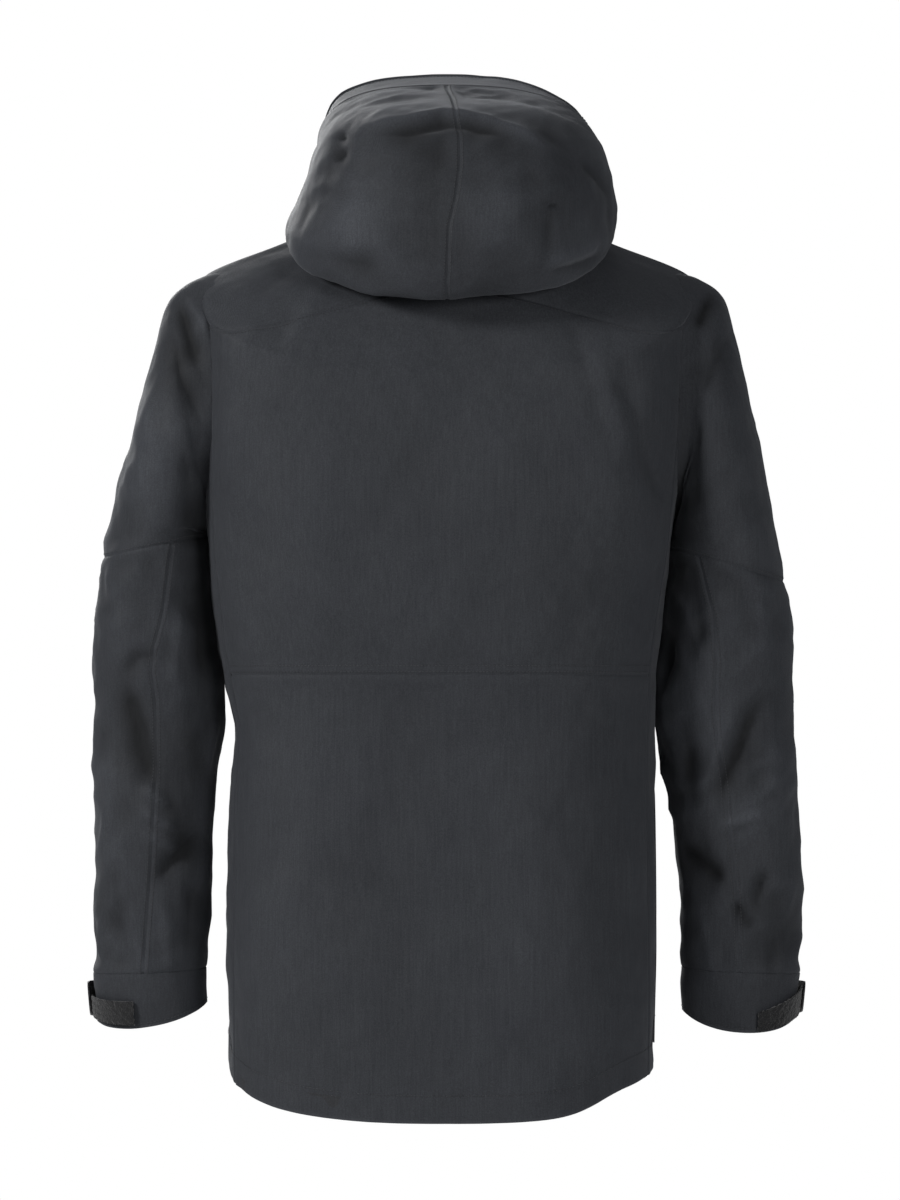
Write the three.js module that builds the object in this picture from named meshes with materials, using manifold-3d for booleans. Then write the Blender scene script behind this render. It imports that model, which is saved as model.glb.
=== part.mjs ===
// A men's hardshell jacket hanging from its neck loop, closed to the collar, with the hood up and slumped.
// Millimetres, +Z up. The front faces -Y and the wearer's left is +X.
// The origin is the middle of the hang loop inside the back of the neck.
import * as THREE from "three";
import { mergeVertices } from "three/addons/utils/BufferGeometryUtils.js";
import Module from "manifold-3d";

const wasm = await Module();
wasm.setup();

// ---- Driving dimensions ----
const SHELL = 2.4; // thickness of a laminate panel
const LINING = 1.4; // thickness of a facing or lining
const GAP = 0.4; // clearance between neighbouring pieces
const SEAM = 0.5; // half the space left between two panels at a seam
const DEGREE = Math.PI / 180;

const ZIP_BOTTOM_Z = -700;
const ZIP_TOP_Z = 16;
const ZIP_BOTTOM_Y = -214; // the front closes on one straight line that leans back to the collar
const ZIP_LEAN = 0.0706; // how far the line comes back for each unit of height
const ZIP_HALF_WIDTH = 9;
const TAPE = 1.2;
const COIL_WIDTH = 2.2;
const COIL_DEPTH = 1.8;

const ARMHOLE = { y: -70, z: -119, halfDepth: 83, halfHeight: 110, from: 165, to: 320 };
const ELBOW_AXIS = { y: -105, z: -360 };
const ELBOW_BEND = 70 * DEGREE;
const HEM_FACING_DEPTH = 0.21; // in rings of the torso above the hem

const SHELL_GREY = 0x3b3d41;
const TRIM_BLACK = 0x18181b;
const PATCH_BLACK = 0x161618;
const LINING_GREY = 0x2b2d31;
const METAL_GREY = 0x54565a;

// ---- Materials ----
function paint(color, roughness, metalness = 0) {
  return () => new THREE.MeshStandardMaterial({ color, roughness, metalness });
}
const shellCloth = paint(SHELL_GREY, 0.72);
const liningCloth = paint(LINING_GREY, 0.8);
const trim = paint(TRIM_BLACK, 0.55);
const fuzzyPatch = paint(PATCH_BLACK, 0.95);
const zipMetal = paint(METAL_GREY, 0.4, 0.6);

const jacket = new THREE.Group();
function add(name, geometry, material) {
  const mesh = new THREE.Mesh(geometry, material());
  mesh.name = name;
  jacket.add(mesh);
  return mesh;
}

// ---- Solids ----
function solid(geometry) {
  const bare = geometry.clone();
  bare.deleteAttribute("normal");
  bare.deleteAttribute("uv");
  const merged = mergeVertices(bare, 1e-4);
  const mesh = new wasm.Mesh({
    numProp: 3,
    vertProperties: merged.attributes.position.array,
    triVerts: new Uint32Array(merged.index.array),
  });
  return new wasm.Manifold(mesh);
}

function geometryOf(body) {
  const mesh = body.getMesh();
  const geometry = new THREE.BufferGeometry();
  geometry.setAttribute("position", new THREE.Float32BufferAttribute(mesh.vertProperties, 3));
  geometry.setIndex(Array.from(mesh.triVerts));
  return geometry;
}

function cut(geometry, ...cutters) {
  let body = solid(geometry);
  for (const cutter of cutters) {
    body = body.subtract(solid(cutter));
  }
  return geometryOf(body);
}

function box(width, depth, height, x, y, z) {
  return new THREE.BoxGeometry(width, depth, height).translate(x, y, z);
}

// The same solid on the wearer's right.
function mirrored(geometry) {
  const copy = geometry.clone().scale(-1, 1, 1);
  const index = copy.index.array;
  for (let i = 0; i < index.length; i += 3) {
    [index[i + 1], index[i + 2]] = [index[i + 2], index[i + 1]];
  }
  return copy;
}

// Catmull-Rom through rows of numbers, so that every measure changes smoothly from row to row.
function between(rows, t) {
  const last = rows.length - 1;
  const i = Math.min(Math.max(Math.floor(t), 0), last - 1);
  const f = t - i;
  const [p, q, r, s] = [i - 1, i, i + 1, i + 2].map((k) => rows[Math.min(Math.max(k, 0), last)]);
  return q.map((_, k) => {
    const slopeIn = (r[k] - p[k]) / 2;
    const slopeOut = (s[k] - q[k]) / 2;
    const a = 2 * (q[k] - r[k]) + slopeIn + slopeOut;
    const b = 3 * (r[k] - q[k]) - 2 * slopeIn - slopeOut;
    return ((a * f + b) * f + slopeIn) * f + q[k];
  });
}

// cos or sin of a superellipse of the given squareness (2 is an ellipse).
function squared(value, squareness) {
  return Math.sign(value) * Math.abs(value) ** (2 / squareness);
}

function normalAt(surface, u, v) {
  const step = 0.004;
  const alongU = surface(u + step, v).sub(surface(u - step, v));
  const alongV = surface(u, v + step).sub(surface(u, v - step));
  return alongU.cross(alongV).normalize();
}

// Where a panel's columns stand: at both edges and at every whole step that lies well between them.
function columnPlaces([from, to], step) {
  const direction = Math.sign(to - from);
  const places = [from];
  const last = Math.round(to / step);
  for (let k = Math.round(from / step); k !== last + direction; k += direction) {
    const place = k * step;
    const past = (place - from) * direction;
    const left = (to - place) * direction;
    if (past > step / 4 && left > step / 4) {
      places.push(place);
    }
  }
  places.push(to);
  return places;
}

// A panel of cloth: the part of a surface between two u values, and between two v values or two
// functions of u, with its outer face `out` above the surface and its inner face `inside` below it.
// u runs anticlockwise as seen from outside with v up, so it falls where the surface turns the other way.
// Columns stand at whole steps of u, so that neighbouring panels share them.
// With closed set, u goes right round and the panel is a tube.
function panel(surface, u, v, grid, out, inside, closed = false) {
  const [step, up] = grid;
  const columnsAt = columnPlaces(u, step);
  const across = columnsAt.length - 1;
  const [low, high] = v.map((edge) => (typeof edge === "function" ? edge : () => edge));
  const facing = Math.sign(u[1] - u[0]);
  const points = [];
  for (const offset of [out * facing, -inside * facing]) {
    for (const angle of columnsAt) {
      for (let j = 0; j <= up; j++) {
        const height = low(angle) + ((high(angle) - low(angle)) * j) / up;
        const normal = normalAt(surface, angle, height);
        points.push(surface(angle, height).addScaledVector(normal, offset));
      }
    }
  }
  const columns = closed ? across : across + 1;
  const sheet = (across + 1) * (up + 1);
  const at = (side, i, j) => side * sheet + (i % columns) * (up + 1) + j;
  const faces = [];
  const quad = (a, b, c, d) => faces.push(a, b, c, a, c, d);
  for (let i = 0; i < across; i++) {
    for (let j = 0; j < up; j++) {
      quad(at(0, i, j), at(0, i + 1, j), at(0, i + 1, j + 1), at(0, i, j + 1));
      quad(at(1, i, j), at(1, i, j + 1), at(1, i + 1, j + 1), at(1, i + 1, j));
    }
    quad(at(0, i, 0), at(1, i, 0), at(1, i + 1, 0), at(0, i + 1, 0));
    quad(at(0, i, up), at(0, i + 1, up), at(1, i + 1, up), at(1, i, up));
  }
  if (!closed) {
    for (let j = 0; j < up; j++) {
      quad(at(0, 0, j), at(0, 0, j + 1), at(1, 0, j + 1), at(1, 0, j));
      quad(at(0, across, j), at(1, across, j), at(1, across, j + 1), at(0, across, j + 1));
    }
  }
  const geometry = new THREE.BufferGeometry();
  geometry.setAttribute("position", new THREE.Float32BufferAttribute(points.flatMap((p) => p.toArray()), 3));
  geometry.setIndex(faces);
  return geometryOf(solid(geometry));
}

// ---- The line of the front zip ----
function zipY(z) {
  return ZIP_BOTTOM_Y + (z - ZIP_BOTTOM_Z) * ZIP_LEAN;
}
const zipLength = (ZIP_TOP_Z - ZIP_BOTTOM_Z) * Math.hypot(1, ZIP_LEAN);
const zipTurn = Math.atan(ZIP_LEAN);
const zipMiddleZ = (ZIP_TOP_Z + ZIP_BOTTOM_Z) / 2;
// Puts a solid made about the zip's middle, with -Y pointing out, on the zip line.
function onZip(geometry) {
  return geometry.rotateX(-zipTurn).translate(0, zipY(zipMiddleZ), zipMiddleZ);
}
// What is cut away along the front for the zip to lie in.
const zipSlot = onZip(box(2 * (ZIP_HALF_WIDTH + GAP), 60, 2 * zipLength, 0, 0, 0));

// ---- Torso ----
const SIDE_Y = -70;
const RING_TILT = 1.3;
// Half width, height at the side, depth and height at the centre back, height at the centre front,
// squareness, depth of the side line.
const TORSO_RINGS = [
  [195, -722, 66, -781, -700, 2.6, SIDE_Y],
  [196, -600, 66, -640, -590, 2.6, SIDE_Y],
  [193, -415, 58, -418, -415, 2.6, SIDE_Y],
  [203, -335, 64, -335, -335, 2.7, SIDE_Y],
  [216, -240, 72, -255, -250, 2.9, SIDE_Y],
  [218, -130, 71, -185, -190, 3.3, SIDE_Y],
  [219, -35, 60, -110, -140, 3.2, SIDE_Y],
  [214, -6, 53, -85, -118, 2.9, SIDE_Y],
  [150, 21, 34, -30, -80, 2.4, SIDE_Y - 3],
  [88, 48, 10, 18, -50, 2.0, SIDE_Y - 8],
];
const NECK = TORSO_RINGS.length - 1;
const WAIST = 2.52;
const ARMPIT = 4.6;
const LEFT_SIDE = 0;
const BACK = 90 * DEGREE;
const RIGHT_SIDE = 180 * DEGREE;
const FRONT = 270 * DEGREE;
const SIDE_SEAM = 18 * DEGREE; // from the side line to the seams of the side panel

// A point at angle u on the ring of height v, between the given rings.
function ringPoint(rings, u, v) {
  const [halfWidth, sideZ, backY, backZ, frontZ, squareness, sideY] = between(rings, v);
  const along = squared(Math.sin(u), squareness);
  const reach = Math.abs(along);
  const centreY = along > 0 ? backY : zipY(frontZ);
  const centreZ = along > 0 ? backZ : frontZ;
  return new THREE.Vector3(
    halfWidth * squared(Math.cos(u), squareness),
    sideY + (centreY - sideY) * reach,
    sideZ + (centreZ - sideZ) * reach ** RING_TILT,
  );
}
function torso(u, v) {
  return ringPoint(TORSO_RINGS, u, v);
}

// The yoke seam runs high across the middle of the back and falls to the armholes.
function backYokeSeam(u) {
  return 8.05 - 2.05 * Math.abs(Math.cos(u)) ** 2.2;
}
function frontYokeSeam(u) {
  return 6.9 - 0.9 * Math.abs(Math.cos(u)) ** 2;
}

const armhole = new THREE.CylinderGeometry(1, 1, ARMHOLE.to - ARMHOLE.from, 40)
  .rotateZ(BACK)
  .scale(1, ARMHOLE.halfDepth, ARMHOLE.halfHeight)
  .translate((ARMHOLE.from + ARMHOLE.to) / 2, ARMHOLE.y, ARMHOLE.z);
const armholes = [armhole, mirrored(armhole)];

const seamStep = (distance) => distance / 215; // angle of a width measured near the side of the torso
const ringStep = SEAM / 60;
const TORSO_STEP = 9 * DEGREE;
const COLLAR_STEP = 12 * DEGREE;
const panelEdge = seamStep(SEAM);

function torsoPanel(name, u, v, grid, cutters = armholes) {
  add(name, cut(panel(torso, u, v, grid, 0, SHELL), ...cutters), shellCloth);
}

torsoPanel(
  "back_yoke",
  [LEFT_SIDE + panelEdge, RIGHT_SIDE - panelEdge],
  [(u) => backYokeSeam(u) + ringStep, NECK],
  [TORSO_STEP, 6],
);
torsoPanel(
  "back_upper_panel",
  [SIDE_SEAM + panelEdge, RIGHT_SIDE - SIDE_SEAM - panelEdge],
  [WAIST + ringStep, (u) => backYokeSeam(u) - ringStep],
  [TORSO_STEP, 8],
);
torsoPanel(
  "back_lower_panel",
  [SIDE_SEAM + panelEdge, RIGHT_SIDE - SIDE_SEAM - panelEdge],
  [0, WAIST - ringStep],
  [TORSO_STEP, 6],
);
torsoPanel("left_side_panel", [-SIDE_SEAM + panelEdge, SIDE_SEAM - panelEdge], [0, ARMPIT], [TORSO_STEP, 7]);
torsoPanel(
  "right_side_panel",
  [RIGHT_SIDE - SIDE_SEAM + panelEdge, RIGHT_SIDE + SIDE_SEAM - panelEdge],
  [0, ARMPIT],
  [TORSO_STEP, 7],
);

// Hand pockets: a straight zip let into each front panel, its top nearer the front zip.
const POCKET = { topX: 124, topZ: -415, bottomX: 140, bottomZ: -575, halfWidth: 7 };

// The value between two ends at which a rising function reaches a target.
function solve(rising, target, from, to) {
  let [low, high] = [from, to];
  for (let i = 0; i < 40; i++) {
    const middle = (low + high) / 2;
    if (rising(middle) < target) {
      low = middle;
    } else {
      high = middle;
    }
  }
  return low;
}
// The angle at which the front of the torso stands at distance x from the middle.
function frontAngle(x, v) {
  return solve((angle) => torso(angle, v).x, x, FRONT, FRONT + 80 * DEGREE);
}
function frontPoint(x, z) {
  const ring = solve((v) => torso(frontAngle(x, v), v).z, z, 0.2, 5);
  return torso(frontAngle(x, ring), ring);
}
const pocketTop = frontPoint(POCKET.topX, POCKET.topZ);
const pocketBottom = frontPoint(POCKET.bottomX, POCKET.bottomZ);
const pocketLength = pocketTop.distanceTo(pocketBottom);
const POCKET_RING = 1.45; // the ring of the torso at mid pocket
const pocketUp = pocketTop.clone().sub(pocketBottom).normalize();
const pocketIn = normalAt(torso, frontAngle((POCKET.topX + POCKET.bottomX) / 2, POCKET_RING), POCKET_RING)
  .negate()
  .projectOnPlane(pocketUp)
  .normalize();
const pocketFrame = new THREE.Matrix4()
  .makeBasis(pocketIn.clone().cross(pocketUp), pocketIn, pocketUp)
  .setPosition(pocketTop.clone().add(pocketBottom).divideScalar(2));

// Puts a solid made about the pocket zip's middle, with -Y pointing out, into place on the left.
function onPocket(geometry) {
  return geometry.applyMatrix4(pocketFrame);
}
const pocketSlot = onPocket(box(2 * POCKET.halfWidth + 2 * GAP, 24, pocketLength + 2 * GAP, 0, 0, 0));

for (const [side, mirror] of [["left", (g) => g], ["right", mirrored]]) {
  const panelU = [FRONT, 360 * DEGREE - SIDE_SEAM - panelEdge];
  const front = panel(torso, panelU, [0, (u) => frontYokeSeam(u) - ringStep], [TORSO_STEP, 9], 0, SHELL);
  add(`${side}_front_panel`, mirror(cut(front, armhole, zipSlot, pocketSlot)), shellCloth);
  const yokeU = [FRONT, 360 * DEGREE - panelEdge];
  const yoke = panel(torso, yokeU, [(u) => frontYokeSeam(u) + ringStep, NECK], [TORSO_STEP, 5], 0, SHELL);
  add(`${side}_front_yoke`, mirror(cut(yoke, armhole, zipSlot)), shellCloth);
}

const facingOut = -(SHELL + GAP);
const wholeRound = [FRONT + 0.001, FRONT + 360 * DEGREE - 0.001];
const hemFacing = panel(
  torso,
  wholeRound,
  [0, HEM_FACING_DEPTH],
  [TORSO_STEP, 1],
  facingOut,
  -facingOut + LINING,
);
add("hem_facing", cut(hemFacing, zipSlot), liningCloth);

// ---- Collar and hang loop ----
const COLLAR_RINGS = [
  [88, 49, 10.5, 19, -49, 2.0, SIDE_Y - 8],
  [87, 79, 8, 51, -16, 2.0, SIDE_Y - 8],
  [84, 103, 2, 78, 14, 2.0, SIDE_Y - 8],
];
function collar(u, v) {
  return ringPoint(COLLAR_RINGS, u, v);
}
const COLLAR_TOP = COLLAR_RINGS.length - 1;
const collarV = [0.03, COLLAR_TOP];
const collarOuter = panel(collar, wholeRound, collarV, [COLLAR_STEP, 2], 0, SHELL);
add("collar_outer", cut(collarOuter, zipSlot), shellCloth);
const collarLining = panel(collar, wholeRound, collarV, [COLLAR_STEP, 2], facingOut, -facingOut + LINING);
add("collar_lining", cut(collarLining, zipSlot), liningCloth);
const chinU = [FRONT + 8 * DEGREE, FRONT + 42 * DEGREE];
const chinOut = facingOut - LINING - GAP;
const chinV = [0.9, COLLAR_TOP];
const chinGuard = panel(collar, chinU, chinV, [COLLAR_STEP, 2], chinOut, -chinOut + LINING);
add("chin_guard", chinGuard, fuzzyPatch);

// The hang loop is a strap across the back of the neck that stands away from the neck facing.
const LOOP = { halfSpan: 34, halfMiddle: 20, height: 9, thick: 1.6, stand: 9 };
const loopOutline = new THREE.Shape([
  new THREE.Vector2(-LOOP.halfSpan, LOOP.stand),
  new THREE.Vector2(-LOOP.halfSpan, LOOP.stand - LOOP.thick),
  new THREE.Vector2(-LOOP.halfMiddle - LOOP.thick, LOOP.stand - LOOP.thick),
  new THREE.Vector2(-LOOP.halfMiddle, -LOOP.thick / 2),
  new THREE.Vector2(LOOP.halfMiddle, -LOOP.thick / 2),
  new THREE.Vector2(LOOP.halfMiddle + LOOP.thick, LOOP.stand - LOOP.thick),
  new THREE.Vector2(LOOP.halfSpan, LOOP.stand - LOOP.thick),
  new THREE.Vector2(LOOP.halfSpan, LOOP.stand),
  new THREE.Vector2(LOOP.halfMiddle, LOOP.stand),
  new THREE.Vector2(LOOP.halfMiddle - LOOP.thick, LOOP.thick / 2),
  new THREE.Vector2(-LOOP.halfMiddle + LOOP.thick, LOOP.thick / 2),
  new THREE.Vector2(-LOOP.halfMiddle, LOOP.stand),
]);
add(
  "hang_loop",
  new THREE.ExtrudeGeometry(loopOutline, { depth: LOOP.height, bevelEnabled: false }).translate(
    0,
    0,
    -LOOP.height / 2,
  ),
  trim,
);
const neckFacingU = [BACK - 48 * DEGREE, BACK + 48 * DEGREE];
add(
  "neck_facing",
  panel(torso, neckFacingU, [8.4, NECK], [TORSO_STEP, 2], facingOut, -facingOut + LINING),
  liningCloth,
);

// ---- Front zip ----
const tapeWidth = ZIP_HALF_WIDTH - SEAM / 2;
const tapeX = (ZIP_HALF_WIDTH + SEAM / 2) / 2;
const coilY = TAPE + GAP + COIL_DEPTH / 2;
const STOP_LENGTH = 12;
for (const [side, sign] of [["left", 1], ["right", -1]]) {
  add(`main_zip_tape_${side}`, onZip(box(tapeWidth, TAPE, zipLength, sign * tapeX, TAPE / 2, 0)), trim);
  const coilX = sign * (COIL_WIDTH / 2 + SEAM / 2);
  const coilLength = zipLength - STOP_LENGTH - GAP;
  const coil = box(COIL_WIDTH, COIL_DEPTH, coilLength, coilX, coilY, (STOP_LENGTH + GAP) / 2);
  add(`main_zip_coil_${side}`, onZip(coil), trim);
}
const stopZ = (STOP_LENGTH - zipLength) / 2;
add("zip_retainer_box", onZip(box(9, 2.6, STOP_LENGTH, 0, TAPE + GAP + 1.3, stopZ)), zipMetal);
const flapY = 9.4; // behind the collar lining and the chin guard
add("inner_storm_flap", onZip(box(34, LINING, zipLength - 6, 2, flapY, 0)), liningCloth);

const SLIDER = { width: 9, thick: 2.6, length: 13, top: 10 };
const sliderZ = zipLength / 2 - SLIDER.top - SLIDER.length / 2;
const sliderY = -(GAP + SLIDER.thick / 2);
const EAR = { width: 1.4, depth: 3, height: 4, apart: 3.2 };
const earY = -(GAP + SLIDER.thick + EAR.depth / 2 - 0.2);
const earZ = sliderZ + 2.5;
function joined(first, ...rest) {
  let body = solid(first);
  for (const geometry of rest) {
    body = body.add(solid(geometry));
  }
  return geometryOf(body);
}
function sliderBody(length, z) {
  const ears = [-1, 1].map((sign) => box(EAR.width, EAR.depth, EAR.height, sign * EAR.apart, earY, z + 2.5));
  return joined(box(SLIDER.width, SLIDER.thick, length, 0, sliderY, z), ...ears);
}
const PULL = { width: 4, tabWidth: 7, thick: 1.6, neck: 7, length: 38 };
// A pull hangs from between the ears, with its axle in line with them.
function pullTab(z, length) {
  const y = earY - 0.9;
  const neck = box(PULL.width, PULL.thick, PULL.neck, 0, y, z + 1.2 - PULL.neck / 2);
  const tab = box(PULL.tabWidth, PULL.thick, length, 0, y, z - PULL.neck - length / 2 + 2);
  return joined(neck, tab);
}
add("main_zip_slider", onZip(sliderBody(SLIDER.length, sliderZ)), zipMetal);
add("main_zip_pull", onZip(pullTab(earZ, PULL.length)), trim);
add("zip_garage", onZip(box(16, 3.4, 5, 0, -(GAP + 1.7), zipLength / 2 - 3)), shellCloth);

// ---- Pocket zips and bags ----
const POCKET_PULL = 24;
for (const [side, mirror] of [["left", (g) => g], ["right", mirrored]]) {
  const tape = onPocket(box(2 * POCKET.halfWidth, TAPE, pocketLength, 0, TAPE / 2 + 0.6, 0));
  add(`${side}_pocket_zip`, mirror(tape), trim);
  const z = pocketLength / 2 - SLIDER.length / 2 - 4;
  add(`${side}_pocket_slider`, mirror(onPocket(sliderBody(SLIDER.length - 3, z))), zipMetal);
  add(`${side}_pocket_pull`, mirror(onPocket(pullTab(z + 2.5, POCKET_PULL))), trim);
  const bagOut = -(SHELL + 6);
  const bagU = [frontAngle(40, POCKET_RING), frontAngle(162, POCKET_RING)];
  const bag = panel(torso, bagU, [0.5, 2.55], [TORSO_STEP, 6], bagOut, -bagOut + LINING);
  add(`${side}_pocket_bag`, mirror(bag), liningCloth);
}

// ---- Hood ----
// Each rib is an arch from one edge of the face opening round the back or over the top to the other.
// Front end x, y, z; widest point x, y, z; centre y, z; squareness.
const HOOD_RIBS = [
  [60, -153, -24, 93, -85, 52, 16, 27, 2.0],
  [66, -162, -20, 120, -70, 43, 46, -6, 2.1],
  [72, -172, -12, 147, -60, 31, 74, -31, 2.2],
  [82, -182, 6, 151, -60, 40, 97, 0, 2.3],
  [92, -187, 34, 146, -70, 60, 98, 45, 2.4],
  [100, -182, 62, 139, -80, 78, 78, 95, 2.6],
  [108, -174, 84, 133, -95, 92, 35, 128, 2.8],
  [116, -164, 98, 129, -110, 103, -60, 150, 3.0],
  [120, -160, 105, 126, -125, 110, -120, 163, 3.2],
  [121, -161, 108, 124, -150, 116, -185, 173, 3.2],
];
const ARCH_SHARE = 0.75; // of a half rib from the centre to the widest point
const CHEEK_CURVE = 0.1;
const BRIM_SEAM = 8;
const BRIM_EDGE = HOOD_RIBS.length - 1;

function hood(u, v) {
  const [endX, endY, endZ, sideX, sideY, sideZ, centreY, centreZ, squareness] = between(HOOD_RIBS, v);
  const side = Math.sign(u) || 1;
  const share = Math.abs(u) / ARCH_SHARE;
  if (share <= 1) {
    const angle = share * BACK;
    const reach = squared(Math.cos(angle), squareness);
    return new THREE.Vector3(
      side * sideX * squared(Math.sin(angle), squareness),
      sideY + (centreY - sideY) * reach,
      sideZ + (centreZ - sideZ) * reach,
    );
  }
  const f = (Math.abs(u) - ARCH_SHARE) / (1 - ARCH_SHARE);
  const bend = new THREE.Vector3(
    sideX,
    sideY + (sideY - centreY) * CHEEK_CURVE,
    sideZ + (sideZ - centreZ) * CHEEK_CURVE,
  );
  const start = new THREE.Vector3(sideX, sideY, sideZ).multiplyScalar((1 - f) ** 2);
  const end = new THREE.Vector3(endX, endY, endZ).multiplyScalar(f * f);
  const point = start.addScaledVector(bend, 2 * f * (1 - f)).add(end);
  return point.setX(side * point.x);
}
const HOOD_STEP = 1 / 14;
const CENTRE_SEAM = 0.0016;
const hoodRange = [0, BRIM_SEAM - ringStep];
const hoodLeft = panel(hood, [1, CENTRE_SEAM], hoodRange, [HOOD_STEP, 11], 0, SHELL);
const hoodRight = mirrored(hoodLeft);
add("hood_left_panel", hoodLeft, shellCloth);
add("hood_right_panel", hoodRight, shellCloth);
const brimU = [ARCH_SHARE + 0.12, -ARCH_SHARE - 0.12];
add("hood_brim", panel(hood, brimU, [BRIM_SEAM + ringStep, BRIM_EDGE], [HOOD_STEP, 2], 0, SHELL), shellCloth);
const stiffenerU = [0.55, -0.55];
const stiffenerV = [BRIM_SEAM + 0.2, BRIM_EDGE - 0.12];
add(
  "brim_stiffener",
  panel(hood, stiffenerU, stiffenerV, [HOOD_STEP, 1], facingOut, -facingOut + LINING),
  trim,
);
// Drawcord outlets low on each side of the face opening.
const OUTLET = { radius: 5, thick: 1.6 };
for (const [side, sign] of [["left", 1], ["right", -1]]) {
  const seat = hood(0.93, 3.2);
  const normal = normalAt(hood, 0.93, 3.2).negate();
  const eyelet = new THREE.LatheGeometry(
    [
      [2.2, 0],
      [OUTLET.radius, 0],
      [OUTLET.radius, OUTLET.thick],
      [2.2, OUTLET.thick],
      [2.2, 0],
    ].map(([r, h]) => new THREE.Vector2(r, h)),
    12,
  );
  eyelet.applyQuaternion(new THREE.Quaternion().setFromUnitVectors(new THREE.Vector3(0, 1, 0), normal));
  seat.addScaledVector(normal, GAP);
  const placed = geometryOf(solid(eyelet.translate(seat.x, seat.y, seat.z)));
  add(`hood_cord_outlet_${side}`, sign > 0 ? placed : mirrored(placed), trim);
}

// ---- Sleeves (made for the wearer's left) ----
// The root passes through the armhole and turns inside it about the shoulder, so its top and its
// underside keep within arcs about that axis.
// Outer edge x, z; inner edge x, z; half depth; depth of the middle; squareness.
const SLEEVE_SECTIONS = [
  [150, -22, 150, -234, 75, -70, 2.0],
  [190, -17, 186, -230, 76, -70, 2.0],
  [226, -20, 211, -227, 77, -70, 2.0],
  [246, -38, 217, -229, 78, -70, 2.05],
  [264, -80, 220.5, -234, 79, -70, 2.1],
  [288, -159, 222, -241, 79, -71, 2.15],
  [302, -214, 222, -250, 76, -73, 2.2],
  [314, -266, 221, -254, 73, -76, 2.2],
  [322, -320, 213, -316, 69, -80, 2.2],
  [323, -362, 208, -358, 67, -82, 2.2],
  [322, -405, 205, -405, 64, -84, 2.2],
  [320, -487, 212, -487, 60, -87, 2.2],
  [322, -569, 216, -569, 55, -90, 2.2],
  [323, -640, 220, -640, 50, -92, 2.2],
  [321, -700, 224, -694, 47, -93, 2.2],
];
const ELBOW_SEAM = 7;
const ELBOW = 9; // level with the elbow's axis
const CUFF_SEAM = 13.45;
const CUFF_END = SLEEVE_SECTIONS.length - 1;

function sleeve(u, v) {
  const [outerX, outerZ, innerX, innerZ, halfDepth, middleY, squareness] = between(SLEEVE_SECTIONS, v);
  const across = squared(Math.cos(u), squareness);
  return new THREE.Vector3(
    (outerX + innerX) / 2 + ((outerX - innerX) / 2) * across,
    middleY + halfDepth * squared(Math.sin(u), squareness),
    (outerZ + innerZ) / 2 + ((outerZ - innerZ) / 2) * across,
  );
}
const SLEEVE_STEP = 18 * DEGREE;
const ROUND = [360 * DEGREE, 0];
const BACK_SEAM = 62 * DEGREE; // from the outer edge, round the back of the forearm
const FRONT_SEAM = -118 * DEGREE;

// A wedge ahead of the elbow's axis, where the cloth folds up when the arm bends.
function elbowNotch(sign) {
  const reach = 120;
  const half = ELBOW_BEND / 2 + 2 * DEGREE;
  const outline = new THREE.Shape([
    new THREE.Vector2(4, 0),
    new THREE.Vector2(-reach, sign * reach * Math.tan(half)),
    new THREE.Vector2(-reach, -sign * 10),
    new THREE.Vector2(4, -sign * 10),
  ]);
  return new THREE.ExtrudeGeometry(outline, { depth: 160, bevelEnabled: false })
    .rotateY(BACK)
    .rotateX(BACK)
    .translate(190, ELBOW_AXIS.y, ELBOW_AXIS.z);
}

const cuffThick = 1.2;
const loopOut = GAP + cuffThick;
const hookIn = loopOut + 2 * GAP;
const hookOut = hookIn + cuffThick;
const tabOut = hookOut + GAP + 1.6;
const PATCH_V = [13.62, 13.9];
const TAB_V = [13.3, 13.86];
const TAB_HINGE = -78 * DEGREE;
const TAB_END = 6 * DEGREE;
for (const [side, mirror] of [["left", (g) => g], ["right", mirrored]]) {
  const upper = panel(sleeve, ROUND, [0, ELBOW_SEAM - ringStep], [SLEEVE_STEP, 7], 0, SHELL, true);
  add(`${side}_upper_sleeve`, mirror(upper), shellCloth);
  const bend = [ELBOW_SEAM + ringStep, ELBOW - ringStep];
  const elbow = panel(sleeve, ROUND, bend, [SLEEVE_STEP, 3], 0, SHELL, true);
  add(`${side}_elbow_panel`, mirror(cut(elbow, elbowNotch(1))), shellCloth);
  const lower = [ELBOW + ringStep, CUFF_SEAM - ringStep];
  const seamGap = SEAM / 60;
  const outerU = [BACK_SEAM - seamGap, FRONT_SEAM + seamGap];
  const innerU = [FRONT_SEAM + 360 * DEGREE - seamGap, BACK_SEAM + seamGap];
  const outer = panel(sleeve, outerU, lower, [SLEEVE_STEP, 6], 0, SHELL);
  const inner = panel(sleeve, innerU, lower, [SLEEVE_STEP, 6], 0, SHELL);
  add(`${side}_forearm_outer`, mirror(cut(outer, elbowNotch(-1))), shellCloth);
  add(`${side}_forearm_inner`, mirror(cut(inner, elbowNotch(-1))), shellCloth);
  const cuff = panel(sleeve, ROUND, [CUFF_SEAM + ringStep, CUFF_END], [SLEEVE_STEP, 2], 0, SHELL, true);
  add(`${side}_cuff`, mirror(cuff), shellCloth);
  const patchU = [78 * DEGREE, -50 * DEGREE];
  const patch = panel(sleeve, patchU, PATCH_V, [SLEEVE_STEP, 1], loopOut, -GAP);
  add(`${side}_cuff_loop_patch`, mirror(patch), fuzzyPatch);
  const hook = panel(sleeve, [TAB_END - 0.05, TAB_END - 0.7], PATCH_V, [SLEEVE_STEP, 1], hookOut, -hookIn);
  add(`${side}_cuff_hook_patch`, mirror(hook), fuzzyPatch);
  const tab = panel(sleeve, [TAB_END, TAB_HINGE], TAB_V, [SLEEVE_STEP, 1], tabOut, -hookOut - GAP);
  add(`${side}_cuff_tab`, mirror(tab), trim);
}

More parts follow.
